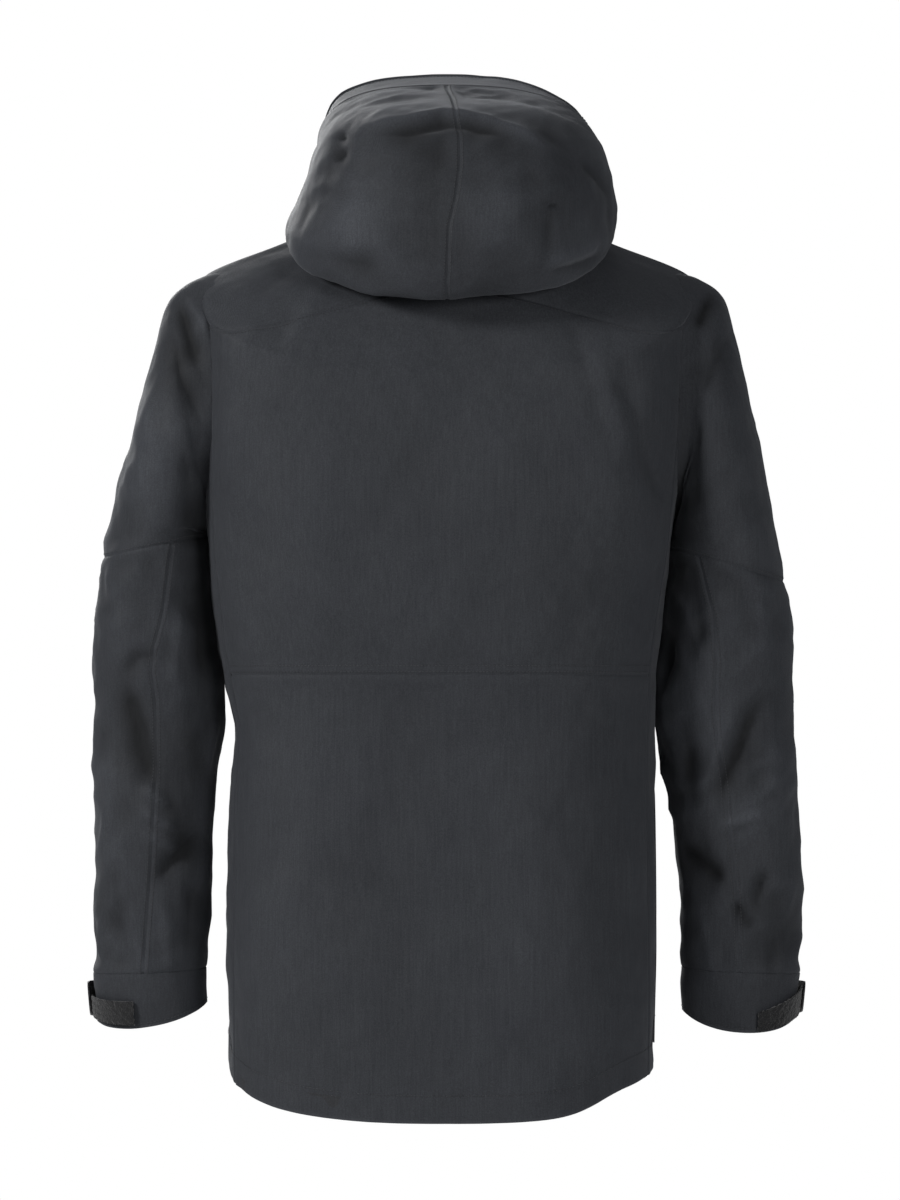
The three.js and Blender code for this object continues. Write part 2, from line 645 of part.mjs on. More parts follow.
// ---- Hem adjusters ----
// A cord lock sewn inside the hem at each side, with a spring button that faces down.
const LOCK = { radius: 6.5, length: 13, buttonRadius: 4.4, buttonLength: 6, stroke: 3 };
const LOCK_AT = { x: 182, y: -72, z: -696 };
for (const [side, mirror] of [["left", (g) => g], ["right", mirrored]]) {
  const profile = [
    [0, 0],
    [LOCK.radius, 0],
    [LOCK.radius, LOCK.length],
    [LOCK.buttonRadius + GAP, LOCK.length],
    [LOCK.buttonRadius + GAP, LOCK.length - LOCK.stroke - 2.5],
    [0, LOCK.length - LOCK.stroke - 2.5],
  ].map(([r, h]) => new THREE.Vector2(r, h));
  const barrel = new THREE.LatheGeometry(profile, 14);
  const button = new THREE.CylinderGeometry(LOCK.buttonRadius, LOCK.buttonRadius, LOCK.buttonLength, 14)
    .translate(0, LOCK.length + LOCK.buttonLength / 2 - 2, 0);
  const place = (g) => geometryOf(solid(g.rotateX(-BACK).translate(LOCK_AT.x, LOCK_AT.y, LOCK_AT.z)));
  add(`${side}_hem_cord_lock`, mirror(place(barrel)), trim);
  add(`${side}_hem_cord_lock_button`, mirror(place(button)), trim);
}

export default jacket;
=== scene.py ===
import math

import bpy
import numpy as np
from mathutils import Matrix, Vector


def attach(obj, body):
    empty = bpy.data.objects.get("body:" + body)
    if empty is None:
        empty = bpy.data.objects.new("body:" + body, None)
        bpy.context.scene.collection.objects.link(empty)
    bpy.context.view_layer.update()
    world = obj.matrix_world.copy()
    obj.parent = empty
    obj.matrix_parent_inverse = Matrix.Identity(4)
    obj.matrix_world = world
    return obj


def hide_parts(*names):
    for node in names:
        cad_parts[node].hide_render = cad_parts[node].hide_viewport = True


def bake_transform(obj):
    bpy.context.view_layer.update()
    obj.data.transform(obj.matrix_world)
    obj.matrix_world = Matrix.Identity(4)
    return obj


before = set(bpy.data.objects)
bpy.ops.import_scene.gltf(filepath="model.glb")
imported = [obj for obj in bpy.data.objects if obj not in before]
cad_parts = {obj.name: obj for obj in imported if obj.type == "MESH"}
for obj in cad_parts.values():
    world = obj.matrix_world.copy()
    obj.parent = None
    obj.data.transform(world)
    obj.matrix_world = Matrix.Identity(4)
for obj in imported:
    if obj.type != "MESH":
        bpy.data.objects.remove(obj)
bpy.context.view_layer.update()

scene = bpy.context.scene
MM = 0.001
TAU = 2 * math.pi

# ---- Camera, light and floor ----
EYE = Vector((-0.0027, 6.02, -0.305))
camera_data = bpy.data.cameras.new("camera")
camera_data.lens = 200
camera_data.sensor_width = 36
camera = bpy.data.objects.new("camera", camera_data)
camera.location = EYE
camera.rotation_euler = (math.pi / 2, 0, math.pi)
scene.collection.objects.link(camera)
scene.camera = camera
scene.view_settings.view_transform = "Standard"
scene.view_settings.look = "None"


def area_light(name, place, target, size, power):
    data = bpy.data.lights.new(name, "AREA")
    data.shape = "DISK"
    data.size = size
    data.energy = power
    light = bpy.data.objects.new(name, data)
    light.location = place
    direction = Vector(target) - Vector(place)
    light.rotation_euler = direction.to_track_quat("-Z", "Y").to_euler()
    scene.collection.objects.link(light)


area_light("key", (3.0, 1.85, 1.25), (0, 0, -0.25), 0.8, 98)
area_light("fill", (-1.9, 3.4, 0.35), (0, 0, -0.35), 1.2, 54)
area_light("top", (0.2, -0.3, 2.6), (0, 0, 0), 1.4, 6)
area_light("front", (1.2, -3.2, 1.1), (0, 0, -0.3), 1.6, 84)


def make_world():
    world = bpy.data.worlds.new("studio")
    scene.world = world
    world.use_nodes = True
    nodes, links = world.node_tree.nodes, world.node_tree.links
    nodes.clear()
    out = nodes.new("ShaderNodeOutputWorld")
    mix = nodes.new("ShaderNodeMixShader")
    path = nodes.new("ShaderNodeLightPath")
    seen = nodes.new("ShaderNodeBackground")
    lit = nodes.new("ShaderNodeBackground")
    seen.inputs["Color"].default_value = (1, 1, 1, 1)
    lit.inputs["Color"].default_value = (0.93, 0.96, 1.0, 1)
    lit.inputs["Strength"].default_value = 0.12
    links.new(path.outputs["Is Camera Ray"], mix.inputs["Fac"])
    links.new(lit.outputs[0], mix.inputs[1])
    links.new(seen.outputs[0], mix.inputs[2])
    links.new(mix.outputs[0], out.inputs["Surface"])


make_world()


# ---- Materials ----
class Nodes:
    """A material's node tree, with short ways to add what the finishes share."""

    def __init__(self, name):
        self.material = bpy.data.materials.new(name)
        self.material.use_nodes = True
        self.tree = self.material.node_tree
        self.tree.nodes.clear()
        self.shader = self.add("ShaderNodeBsdfPrincipled")
        self.add("ShaderNodeOutputMaterial", {"Surface": self.shader.outputs[0]})
        self.place = self.add("ShaderNodeTexCoord").outputs["Object"]

    def add(self, kind, inputs=None, **settings):
        node = self.tree.nodes.new(kind)
        for key, value in settings.items():
            setattr(node, key, value)
        for key, value in (inputs or {}).items():
            self.feed(value, node.inputs[key])
        return node

    def feed(self, value, socket):
        """Sets a socket to a number or a colour, or links another node's output to it."""
        if isinstance(value, (int, float)):
            socket.default_value = value
        elif isinstance(value, tuple):
            socket.default_value = (*value, 1)
        else:
            self.tree.links.new(value, socket)

    def set(self, **values):
        for key, value in values.items():
            self.feed(value, self.shader.inputs[key.replace("_", " ")])

    def attribute(self, name):
        return self.add("ShaderNodeAttribute", attribute_name=name).outputs["Fac"]

    def noise(self, scale, detail=3.0, roughness=0.55, place=None):
        inputs = {"Vector": place or self.place, "Scale": scale, "Detail": detail, "Roughness": roughness}
        return self.add("ShaderNodeTexNoise", inputs).outputs["Fac"]

    def streaks(self, scale, length):
        """Noise drawn out along Z, for yarns that vary in thickness."""
        stretched = self.add("ShaderNodeVectorMath", {0: self.place}, operation="MULTIPLY")
        stretched.inputs[1].default_value = (1, 1, length)
        return self.noise(scale, 3.0, 0.5, stretched.outputs[0])

    def wave(self, scale, direction, distortion):
        inputs = {"Vector": self.place, "Scale": scale, "Distortion": distortion, "Detail": 1.0}
        return self.add("ShaderNodeTexWave", inputs, bands_direction=direction).outputs["Fac"]

    def math(self, operation, a, b):
        return self.add("ShaderNodeMath", {0: a, 1: b}, operation=operation).outputs[0]

    def ramp(self, fac, low, high, low_at=0.3, high_at=0.7):
        node = self.add("ShaderNodeValToRGB", {"Fac": fac})
        first, last = node.color_ramp.elements
        first.position, last.position = low_at, high_at
        first.color, last.color = (*low, 1), (*high, 1)
        return node.outputs["Color"]

    def blend(self, kind, fac, a, b):
        """Mixes two colours, which are sockets 6 and 7 of the mix node."""
        inputs = {"Factor": fac, 6: a, 7: b}
        return self.add("ShaderNodeMix", inputs, data_type="RGBA", blend_type=kind).outputs[2]

    def bump(self, *layers):
        """Adds layers of fine bumps, each a (height, strength, distance)."""
        normal = None
        for height, strength, distance in layers:
            inputs = {"Height": height, "Strength": strength, "Distance": distance}
            if normal is not None:
                inputs["Normal"] = normal
            normal = self.add("ShaderNodeBump", inputs).outputs["Normal"]
        self.set(Normal=normal)


def tint(color, share):
    return tuple(min(1.0, c * share) for c in color)


WAVE_PITCH = 0.314  # spacing of a wave texture's bands at a scale of 1


def woven(name, color, yarn=0.0009, roughness=0.72, worn=0.0):
    """A plain weave with thick and thin yarns, flecks, soft patches and rubbed edges, with painted shade in
    fold furrows and painted highlight on fold ridges.
    """
    m = Nodes(name)
    scale = WAVE_PITCH / yarn
    weave = m.math("MULTIPLY", m.wave(scale, "Z", 0.35), m.wave(2 * scale, "DIAGONAL", 0.35))
    fleck = m.ramp(m.noise(900, 2.0), tint(color, 0.82), tint(color, 1.18), 0.35, 0.68)
    patch = m.ramp(m.noise(7.0, 4.0), (0.93, 0.93, 0.94), (1.06, 1.06, 1.05))
    shade = m.ramp(weave, (0.86, 0.86, 0.87), (1.07, 1.07, 1.08), 0.0, 1.0)
    slub = m.ramp(m.streaks(620, 0.03), (0.90, 0.90, 0.91), (1.10, 1.10, 1.09), 0.35, 0.65)
    # Painted shade and highlight: the colour is darkened in fold furrows and lightened on fold ridges, from
    # each point's painted fold shading.
    painted_shading_factor = m.math("ADD", 1.0, m.math("MULTIPLY", m.attribute("painted_fold_shading"), 0.5))
    base = m.blend("MULTIPLY", 1.0, fleck, patch)
    base = m.blend("MULTIPLY", 0.7, base, shade)
    base = m.blend("MULTIPLY", 1.0, base, slub)
    base = m.blend("MULTIPLY", 1.0, base, painted_shading_factor)
    if worn:
        rubbed = m.math("MULTIPLY", m.attribute("wear"), m.math("MULTIPLY", m.noise(160, 4.0), worn))
        base = m.blend("MIX", rubbed, base, tint(color, 1.9))
    rough = m.ramp(m.noise(24, 4.0), (roughness - 0.06,) * 3, (roughness + 0.07,) * 3)
    m.set(Base_Color=base, Roughness=rough, Specular_IOR_Level=0.24)
    m.set(Sheen_Weight=0.10, Sheen_Roughness=0.45, Sheen_Tint=(0.9, 0.93, 1.0))
    m.bump(
        (m.noise(230, 3.0), 0.10, 0.0009),
        (m.streaks(900, 0.05), 0.25, 0.0004),
        (weave, 0.35, 0.0003),
    )
    return m.material


def pile(name, color, size, strength):
    """Loop pile or fleece: matt, uneven and soft at grazing angles."""
    m = Nodes(name)
    loops = m.noise(1 / size, 5.0, 0.7)
    m.set(Base_Color=m.ramp(loops, tint(color, 0.5), tint(color, 1.7), 0.32, 0.7), Roughness=0.95)
    m.set(Sheen_Weight=0.25, Sheen_Roughness=0.6, Specular_IOR_Level=0.15)
    m.bump((loops, strength, size), (m.noise(0.3 / size, 3.0), 0.4, 2 * size))
    return m.material


def moulded(name, color, roughness, grain=0.25, metallic=0.0):
    """Moulded trim or enamelled metal, with a fine grain and rubbed high spots."""
    m = Nodes(name)
    rubbed = m.ramp(m.noise(140, 5.0, 0.65), color, tint(color, 1.6), 0.5, 0.8)
    rough = m.ramp(m.noise(320, 4.0), (roughness - 0.08,) * 3, (roughness + 0.1,) * 3)
    m.set(Base_Color=rubbed, Roughness=rough, Metallic=metallic, Specular_IOR_Level=0.45)
    m.bump((m.noise(1500, 2.0), grain, 0.0002))
    return m.material


def ribbed(name, color, pitch, direction, roughness, depth):
    """Parallel ribs: a zip's coil, webbing, or the yarns of a tape."""
    m = Nodes(name)
    ribs = m.wave(WAVE_PITCH / pitch, direction, 0.1)
    m.set(Base_Color=m.ramp(ribs, tint(color, 0.6), tint(color, 1.35), 0.1, 0.9))
    m.set(Roughness=roughness, Specular_IOR_Level=0.4)
    m.bump((ribs, 0.9, depth), (m.noise(700, 3.0), 0.2, 0.0002))
    return m.material


FABRIC = woven("shell_fabric", (0.0335, 0.0360, 0.0415), worn=0.5)
INSIDE = woven("lining_fabric", (0.030, 0.031, 0.034), 0.0007, 0.75)
FLEECE = pile("brushed_lining", (0.022, 0.022, 0.025), 0.0012, 0.7)
LOOPS = pile("hook_and_loop", (0.0048, 0.0048, 0.0056), 0.0016, 0.9)
HOOKS = pile("hook_tape", (0.010, 0.010, 0.011), 0.0009, 0.9)
TRIM = moulded("moulded_trim", (0.011, 0.011, 0.013), 0.5)
TAPE = ribbed("zip_tape", (0.016, 0.016, 0.018), 0.0016, "X", 0.42, 0.00012)
COIL = ribbed("zip_coil", (0.012, 0.012, 0.0135), 0.0013, "Z", 0.32, 0.0005)
WEBBING = ribbed("webbing", (0.014, 0.014, 0.016), 0.0014, "X", 0.7, 0.0004)
METAL = moulded("zip_metal", (0.026, 0.026, 0.028), 0.34, 0.1, 0.6)
BOARD = moulded("brim_board", (0.02, 0.02, 0.022), 0.6)
THREAD = moulded("thread", (0.028, 0.029, 0.033), 0.6, 0.6)


# ---- Curves and surfaces ----
def at(edge, place):
    """The value of an edge that is either a number or a function of place."""
    return edge(place) if callable(edge) else edge


def between(rows, t):
    """Catmull-Rom through rows of numbers or points, at each place in t."""
    rows = np.asarray(rows, float)
    last = len(rows) - 1
    t = np.asarray(t, float)
    i = np.clip(np.floor(t).astype(int), 0, last - 1)
    f = (t - i)[(...,) + (None,) * (rows.ndim - 1)]
    p, q, r, s = (rows[np.clip(i + k, 0, last)] for k in (-1, 0, 1, 2))
    slope_in, slope_out = (r - p) / 2, (s - q) / 2
    a = 2 * (q - r) + slope_in + slope_out
    b = 3 * (r - q) - 2 * slope_in - slope_out
    return ((a * f + b) * f + slope_in) * f + q


def squared(value, squareness):
    return np.sign(value) * np.abs(value) ** (2 / squareness)


ZIP_FOOT_Y, ZIP_FOOT_Z = -0.214, -0.7
ZIP_LEAN = 0.0706


def zip_y(z):
    return ZIP_FOOT_Y + (z - ZIP_FOOT_Z) * ZIP_LEAN


# Half width, height at the side, depth and height at the centre back, height at the centre front,
# squareness, depth of the side line, how sharply the ring tilts.
TORSO = [
    [0.195, -0.722, 0.066, -0.773, -0.700, 2.6, -0.070, 1.0],
    [0.196, -0.600, 0.066, -0.640, -0.590, 2.6, -0.070, 1.2],
    [0.193, -0.415, 0.058, -0.418, -0.415, 2.6, -0.070, 1.3],
    [0.203, -0.335, 0.064, -0.335, -0.335, 2.7, -0.070, 1.3],
    [0.216, -0.240, 0.072, -0.255, -0.250, 2.9, -0.070, 1.3],
    [0.219, -0.130, 0.071, -0.185, -0.190, 3.3, -0.070, 1.3],
    [0.221, -0.038, 0.060, -0.110, -0.140, 3.2, -0.070, 1.3],
    [0.221, -0.009, 0.053, -0.085, -0.118, 2.9, -0.070, 1.3],
    [0.150, 0.021, 0.034, -0.030, -0.080, 2.4, -0.073, 1.3],
    [0.088, 0.048, 0.010, 0.018, -0.050, 2.0, -0.078, 1.3],
]
NECK = len(TORSO) - 1
WAIST = 2.44
SIDE_SEAM = math.radians(18)
# How far the cloth hangs out of true to either side: height, shift on the left, shift on the right.
DRIFT = np.array([
    [-0.80, 0.0045, 0.006], [-0.60, 0.0040, 0.006], [-0.483, 0.0055, 0.005],
    [-0.419, 0.0022, 0.004], [-0.385, 0.0070, 0.005], [-0.350, 0.0075, 0.009],
    [-0.296, 0.0050, 0.009], [-0.231, 0.0015, 0.0085], [-0.130, 0.0, 0.003], [0.0, 0.0, 0.0],
])
# On the wearer's right the back hem curves up a little sooner than on the left.
HEM_LIFT, HEM_LIFT_X, HEM_LIFT_WIDTH = 0.012, 0.165, 0.035


def ring_point(rows, u, v):
    half, side_z, back_y, back_z, front_z, square, side_y, tilt = np.moveaxis(between(rows, v), -1, 0)
    along = squared(np.sin(u), square)
    reach = np.abs(along)
    centre_y = np.where(along > 0, back_y, zip_y(front_z))
    centre_z = np.where(along > 0, back_z, front_z)
    x = half * squared(np.cos(u), square)
    y = side_y + (centre_y - side_y) * reach
    z = side_z + (centre_z - side_z) * reach**tilt
    return np.stack([x, y, z], -1), half


def torso(u, v):
    point, half = ring_point(TORSO, u, v)
    left = np.interp(point[..., 2], DRIFT[:, 0], DRIFT[:, 1])
    right = np.interp(point[..., 2], DRIFT[:, 0], DRIFT[:, 2])
    share = point[..., 0] / half
    lifted = np.exp(-(((point[..., 0] + HEM_LIFT_X) / HEM_LIFT_WIDTH) ** 2)) * np.clip(1 - v, 0, 1)
    point[..., 2] += HEM_LIFT * lifted * np.clip(3 * np.sin(u), 0, 1)
    point[..., 0] += np.where(share > 0, left, right) * np.abs(share)
    return point


def yoke_seam(u):
    """The height of the seam below the yoke: high across the middle of the back, low at the armholes."""
    across = np.abs(np.cos(u))
    return np.where(np.sin(u) > 0, 8.05 - 2.05 * across**2.2, 6.9 - 0.9 * across**2)


COLLAR = [
    [0.088, 0.049, 0.0105, 0.019, -0.049, 2.0, -0.078, 1.3],
    [0.087, 0.079, 0.008, 0.051, -0.016, 2.0, -0.078, 1.3],
    [0.084, 0.103, 0.002, 0.078, 0.014, 2.0, -0.078, 1.3],
]


def collar(u, v):
    return ring_point(COLLAR, u, v)[0]


# Front end x, y, z; widest point x, y, z; centre y, z; squareness.
HOOD = np.array([
    [60, -153, -24, 93, -85, 52, 16, 27, 2.0],
    [66, -162, -20, 120, -70, 43, 46, -8, 2.1],
    [72, -172, -12, 147, -60, 31, 74, -37, 2.2],
    [82, -182, 6, 151, -60, 40, 97, -4, 2.3],
    [92, -187, 34, 146, -70, 60, 98, 45, 2.4],
    [100, -182, 62, 139, -80, 78, 80, 98, 2.45],
    [108, -174, 84, 134, -95, 93, 37, 133, 2.5],
    [116, -164, 98, 129, -110, 108, -58, 156, 2.5],
    [120, -160, 106, 124, -125, 119, -120, 169, 2.45],
    [121, -161, 110, 120, -150, 126, -185, 183, 2.4],
]) * ([MM] * 8 + [1])
ARCH_SHARE = 0.75
CHEEK_CURVE = 0.1
BRIM_SEAM = 8
BRIM_EDGE = len(HOOD) - 1
# The hood has slipped towards the wearer's right: height, shift.
SLIP = np.array([
    [-0.02, 0.0], [0.027, -0.002], [0.055, -0.0085], [0.082, -0.0115], [0.110, -0.0115],
    [0.130, -0.008], [0.150, -0.005], [0.165, 0.0],
])


def hood(u, v):
    end_x, end_y, end_z, side_x, side_y, side_z, mid_y, mid_z, square = np.moveaxis(between(HOOD, v), -1, 0)
    side = np.where(u < 0, -1.0, 1.0)
    angle = np.clip(np.abs(u) / ARCH_SHARE, 0, 1) * math.pi / 2
    reach = squared(np.cos(angle), square)
    arch = np.stack([
        side_x * squared(np.sin(angle), square),
        side_y + (mid_y - side_y) * reach,
        side_z + (mid_z - side_z) * reach,
    ], -1)
    f = np.clip((np.abs(u) - ARCH_SHARE) / (1 - ARCH_SHARE), 0, 1)[..., None]
    widest = np.stack([side_x, side_y, side_z], -1)
    bend = np.stack([
        side_x, side_y + (side_y - mid_y) * CHEEK_CURVE, side_z + (side_z - mid_z) * CHEEK_CURVE
    ], -1)
    end = np.stack([end_x, end_y, end_z], -1)
    cheek = widest * (1 - f) ** 2 + bend * 2 * f * (1 - f) + end * f * f
    point = np.where((np.abs(u) > ARCH_SHARE)[..., None], cheek, arch)
    point[..., 0] = side * point[..., 0] + np.interp(point[..., 2], SLIP[:, 0], SLIP[:, 1])
    return point


# Outer edge x, z; inner edge x, z; half depth; depth of the middle; squareness; dip of the middle.
ROOT = [
    [150, -12, 150, -230, 68, -70, 2.0, 0],
    [192, -3.5, 190, -232.5, 72, -70, 2.0, 0],
    [224, -8.8, 211, -232.5, 72.5, -70, 2.0, 0],
]
SLEEVE_ROWS = {
    "left": ROOT + [
        [251, -26, 216, -235, 75, -70, 2.0, 0],
        [263, -58, 217, -237, 78, -70, 2.05, 0],
        [274.5, -105, 217.5, -239, 79, -70.5, 2.1, 0],
        [288.5, -159, 218, -242, 79, -71, 2.15, 0],
        [302, -214, 218, -245, 77, -73, 2.2, 0],
        [313.5, -266, 217, -247, 73, -76, 2.2, 0],
        [321.5, -323, 211.5, -306, 69, -80, 2.2, 0],
        [324.5, -364, 205.5, -360, 67, -82, 2.2, 0],
        [323, -405, 202, -405, 64, -84, 2.2, 0],
        [322, -460, 210, -460, 61.5, -85.5, 2.2, 0],
        [321, -514, 215, -514, 58.5, -88, 2.2, 0],
        [323, -569, 217, -569, 55, -90, 2.2, 0],
        [324, -623, 220, -623, 51, -92, 2.2, 0],
        [324, -655, 220.5, -648, 49, -92.6, 2.2, 2],
        [321, -690, 219, -673, 47, -93, 2.2, 12],
    ],
    "right": ROOT + [
        [249.5, -26, 208, -235, 75, -70, 2.0, 0],
        [261, -58, 206.5, -238, 78, -70, 2.05, 0],
        [273, -105, 205.5, -241, 79, -70.5, 2.1, 0],
        [285.5, -159, 204, -245, 79, -71, 2.15, 0],
        [295, -214, 202.5, -250, 77, -73, 2.2, 0],
        [307.5, -288, 200.5, -257, 73, -76, 2.2, 0],
        [314, -325, 197, -312, 69, -80, 2.2, 0],
        [317, -364, 192.5, -360, 67, -82, 2.2, 0],
        [317.5, -405, 191, -405, 64, -84, 2.2, 0],
        [320, -460, 199, -460, 61.5, -85.5, 2.2, 0],
        [323, -514, 206, -514, 58.5, -88, 2.2, 0],
        [325, -569, 212.5, -569, 55, -90, 2.2, 0],
        [324.5, -623, 214.5, -623, 51, -92, 2.2, 0],
        [323, -655, 215, -648, 49, -92.6, 2.2, 2],
        [320, -686, 216, -680, 47, -93, 2.2, 16],
    ],
}
ELBOW_SEAM = 8
CUFF_SEAM = 15.72
SLEEVE_END = len(SLEEVE_ROWS["left"]) - 1
# Angle of the back seam of the forearm from the sleeve's outer edge, in degrees, down the rows.
BACK_SEAM = {
    "left": [[8, 108], [9, 99], [9.7, 90], [10.2, 88], [11.4, 90], [12, 92], [14, 90], [17, 85]],
    "right": [[8, 118], [9, 103], [10, 98], [12, 98], [14, 95], [17, 90]],
}
FRONT_SEAM = math.radians(-118)


def sleeve(side, t, v):
    rows = np.array(SLEEVE_ROWS[side]) * ([MM] * 6 + [1, MM])
    values = np.moveaxis(between(rows, v), -1, 0)
    outer_x, outer_z, inner_x, inner_z, half_depth, mid_y, square, dip = values
    across = squared(np.cos(t), square)
    depth = squared(np.sin(t), square)
    x = (outer_x + inner_x) / 2 + (outer_x - inner_x) / 2 * across
    z = (outer_z + inner_z) / 2 + (outer_z - inner_z) / 2 * across - dip * np.abs(depth) ** 1.6
    return np.stack([x if side == "left" else -x, mid_y + half_depth * depth, z], -1)


# ---- Cloth ----
FINE = 0.0036  # usual step of a panel's grid
NEAR_EDGE = np.array([0.0008, 0.0016, 0.0026])  # closer rows beside an edge
CLOTH = 0.0013  # thickness of the shell cloth


def unit(vectors):
    return vectors / np.maximum(np.linalg.norm(vectors, axis=-1, keepdims=True), 1e-12)


def normals_of(grid, closed=False):
    if closed:
        ring = grid[:-1]
        along = np.roll(ring, -1, 0) - np.roll(ring, 1, 0)
        along = np.concatenate([along, along[:1]])
    else:
        along = np.gradient(grid, axis=0)
    return unit(np.cross(along, np.gradient(grid, axis=1)))


def offset(grid, distance):
    """The grid moved along its normals, by a number or by one value for each point."""
    return grid + normals_of(grid) * np.broadcast_to(distance, grid.shape[:-1])[..., None]


def lengths_along(grid, axis):
    """Distance walked along one direction of the grid, from its first edge."""
    step = np.linalg.norm(np.diff(grid, axis=axis), axis=-1)
    walked = np.cumsum(step, axis=axis)
    return np.pad(walked, [(1, 0) if k == axis else (0, 0) for k in range(2)])


def graded(length, fine):
    """Shares of a length from 0 to 1, at an even step, with closer ones beside the ends in `fine`."""
    shares = list(np.linspace(0, 1, max(int(round(length / FINE)), 3) + 1))
    near = NEAR_EDGE / length
    if fine[0]:
        shares += list(near)
    if fine[1]:
        shares += list(1 - near)
    return np.array(sorted(shares))


def smooth_rise(value, low, high):
    f = np.clip((value - low) / (high - low), 0, 1)
    return f * f * (3 - 2 * f)


def plane_waves(points, seed, wavelength, count=22):
    """A smooth random height, about 1 at its crests, from waves in every direction."""
    rng = np.random.default_rng(seed)
    height = np.zeros(points.shape[:-1])
    for _ in range(count):
        direction = rng.normal(size=3)
        direction /= np.linalg.norm(direction)
        number = TAU / (wavelength * rng.uniform(0.7, 1.6))
        height += np.sin(points @ (direction * number) + rng.uniform(0, TAU))
    return height / math.sqrt(count)


# A fold falls away from its crease at a steady slope, as a stiff laminated cloth does, and fades at
# both ends over a share of its length. It shows only where the cloth faces the way it was seen.
CREASE_ROUNDING = 0.28
CREASE_SLOPE = 1.25
FADE_SHARE = 0.3
FOLD_GAIN = 1.6
FACING_GAIN = 2.2


def fold_height(x, z, fold):
    """The height of one fold: a ridge or a furrow along a line seen from behind, fading at its ends."""
    line, width, height = np.array(fold[0]) * MM, fold[1] * MM, fold[2] * MM
    total = np.linalg.norm(np.diff(line, axis=0), axis=1).sum()
    nearest = np.full(x.shape, 1e9)
    place = np.zeros(x.shape)
    walked = 0.0
    for (ax, az), (bx, bz) in zip(line[:-1], line[1:]):
        length = math.hypot(bx - ax, bz - az)
        along = ((x - ax) * (bx - ax) + (z - az) * (bz - az)) / length**2
        f = np.clip(along, 0, 1)
        distance = np.hypot(x - (ax + (bx - ax) * f), z - (az + (bz - az) * f))
        closer = distance < nearest
        place = np.where(closer, (walked + f * length) / total, place)
        nearest = np.minimum(nearest, distance)
        walked += length
    fade = np.clip(np.minimum(place, 1 - place) / FADE_SHARE, 0.0, 1)
    fade = 0.15 + 0.85 * fade * fade * (3 - 2 * fade)
    away = np.sqrt((nearest / width) ** 2 + CREASE_ROUNDING**2) - CREASE_ROUNDING
    return height * fade * np.exp(-CREASE_SLOPE * away)


def folds_on(grid, normal, folds, facing=1.0):
    seen = FOLD_GAIN * np.clip(normal[..., 1] * facing * FACING_GAIN, 0, 1)
    height = np.zeros(grid.shape[:-1])
    for fold in folds:
        height += fold_height(grid[..., 0], grid[..., 2], fold)
    return height * seen


def edge_distances(grid):
    across, up = lengths_along(grid, 0), lengths_along(grid, 1)
    return {"left": across, "right": across[-1:] - across, "low": up, "high": up[:, -1:] - up}


SEAM_DEPTH = 0.0009
SEAM_WIDTH = 0.0017
TAPE_RAISE = 0.00035
TAPE_REACH = 0.010
TAPE_SOFTNESS = 0.0012
WEAR_WIDTH = 0.0022


def seamed(grid, normal, seams):
    """Curls the named edges in, so that panels meet in a groove, and lifts the cloth over the tape."""
    away = edge_distances(grid)
    height = np.zeros(grid.shape[:-1])
    for name in seams:
        height -= SEAM_DEPTH * np.exp(-((away[name] / SEAM_WIDTH) ** 2))
        height += TAPE_RAISE / (1 + np.exp((away[name] - TAPE_REACH) / TAPE_SOFTNESS))
    return grid + normal * height[..., None]


def link_mesh(name, points, faces, materials, material_index=None):
    mesh = bpy.data.meshes.new(name)
    mesh.from_pydata([tuple(p) for p in points], [], [tuple(f) for f in faces])
    for material in materials:
        mesh.materials.append(material)
    if material_index is not None:
        mesh.polygons.foreach_set("material_index", material_index)
    mesh.polygons.foreach_set("use_smooth", [True] * len(mesh.polygons))
    mesh.set_sharp_from_angle(angle=math.radians(50))
    mesh.update()
    piece = bpy.data.objects.new(name, mesh)
    scene.collection.objects.link(piece)
    return piece


def cloth(name, grid, outward, thickness=CLOTH, finish=None, closed=False, hole=None, wear=(), painted_fold_shading=None):
    """A sheet with two faces and a rim, made from a grid of points on its outer face."""
    columns, rows = grid.shape[:2]
    inner = grid - normals_of(grid, closed) * outward * thickness
    points = np.concatenate([grid.reshape(-1, 3), inner.reshape(-1, 3)])
    i, j = np.meshgrid(np.arange(columns - 1), np.arange(rows - 1), indexing="ij")
    right = (i + 1) % (columns - 1) if closed else i + 1
    corners = [i * rows + j, right * rows + j, right * rows + j + 1, i * rows + j + 1]
    quads = np.stack(corners, -1).reshape(-1, 4)
    if hole is not None:
        inside = hole(grid).reshape(-1)
        quads = quads[~inside[quads].all(axis=1)]
    if outward < 0:
        quads = quads[:, ::-1]
    count = columns * rows
    edges = np.concatenate([quads[:, [k, (k + 1) % 4]] for k in range(4)])
    _, first, uses = np.unique(np.sort(edges, axis=1), axis=0, return_index=True, return_counts=True)
    rim = edges[first[uses == 1]]
    rim_faces = np.stack([rim[:, 1], rim[:, 0], rim[:, 0] + count, rim[:, 1] + count], -1)
    faces = np.concatenate([quads, quads[:, ::-1] + count, rim_faces])
    index = np.repeat([0, 1, 0], [len(quads), len(quads), len(rim_faces)])
    used = np.unique(faces)
    renumber = np.zeros(len(points), int)
    renumber[used] = np.arange(len(used))
    materials = [finish, finish] if finish else [FABRIC, INSIDE]
    piece = link_mesh(name, points[used], renumber[faces], materials, index)
    fields = {}
    if wear:
        away = edge_distances(grid)
        fields["wear"] = sum(np.exp(-((away[edge] / WEAR_WIDTH) ** 2)) for edge in wear)
    # Painted fold shading for each point, which the shell finish multiplies into the colour.
    if painted_fold_shading is not None:
        fields["painted_fold_shading"] = painted_fold_shading
    for field, values in fields.items():
        both = np.concatenate([values.reshape(-1)] * 2)[used].astype(np.float32)
        piece.data.attributes.new(field, "FLOAT", "POINT").data.foreach_set("value", both)
    return piece


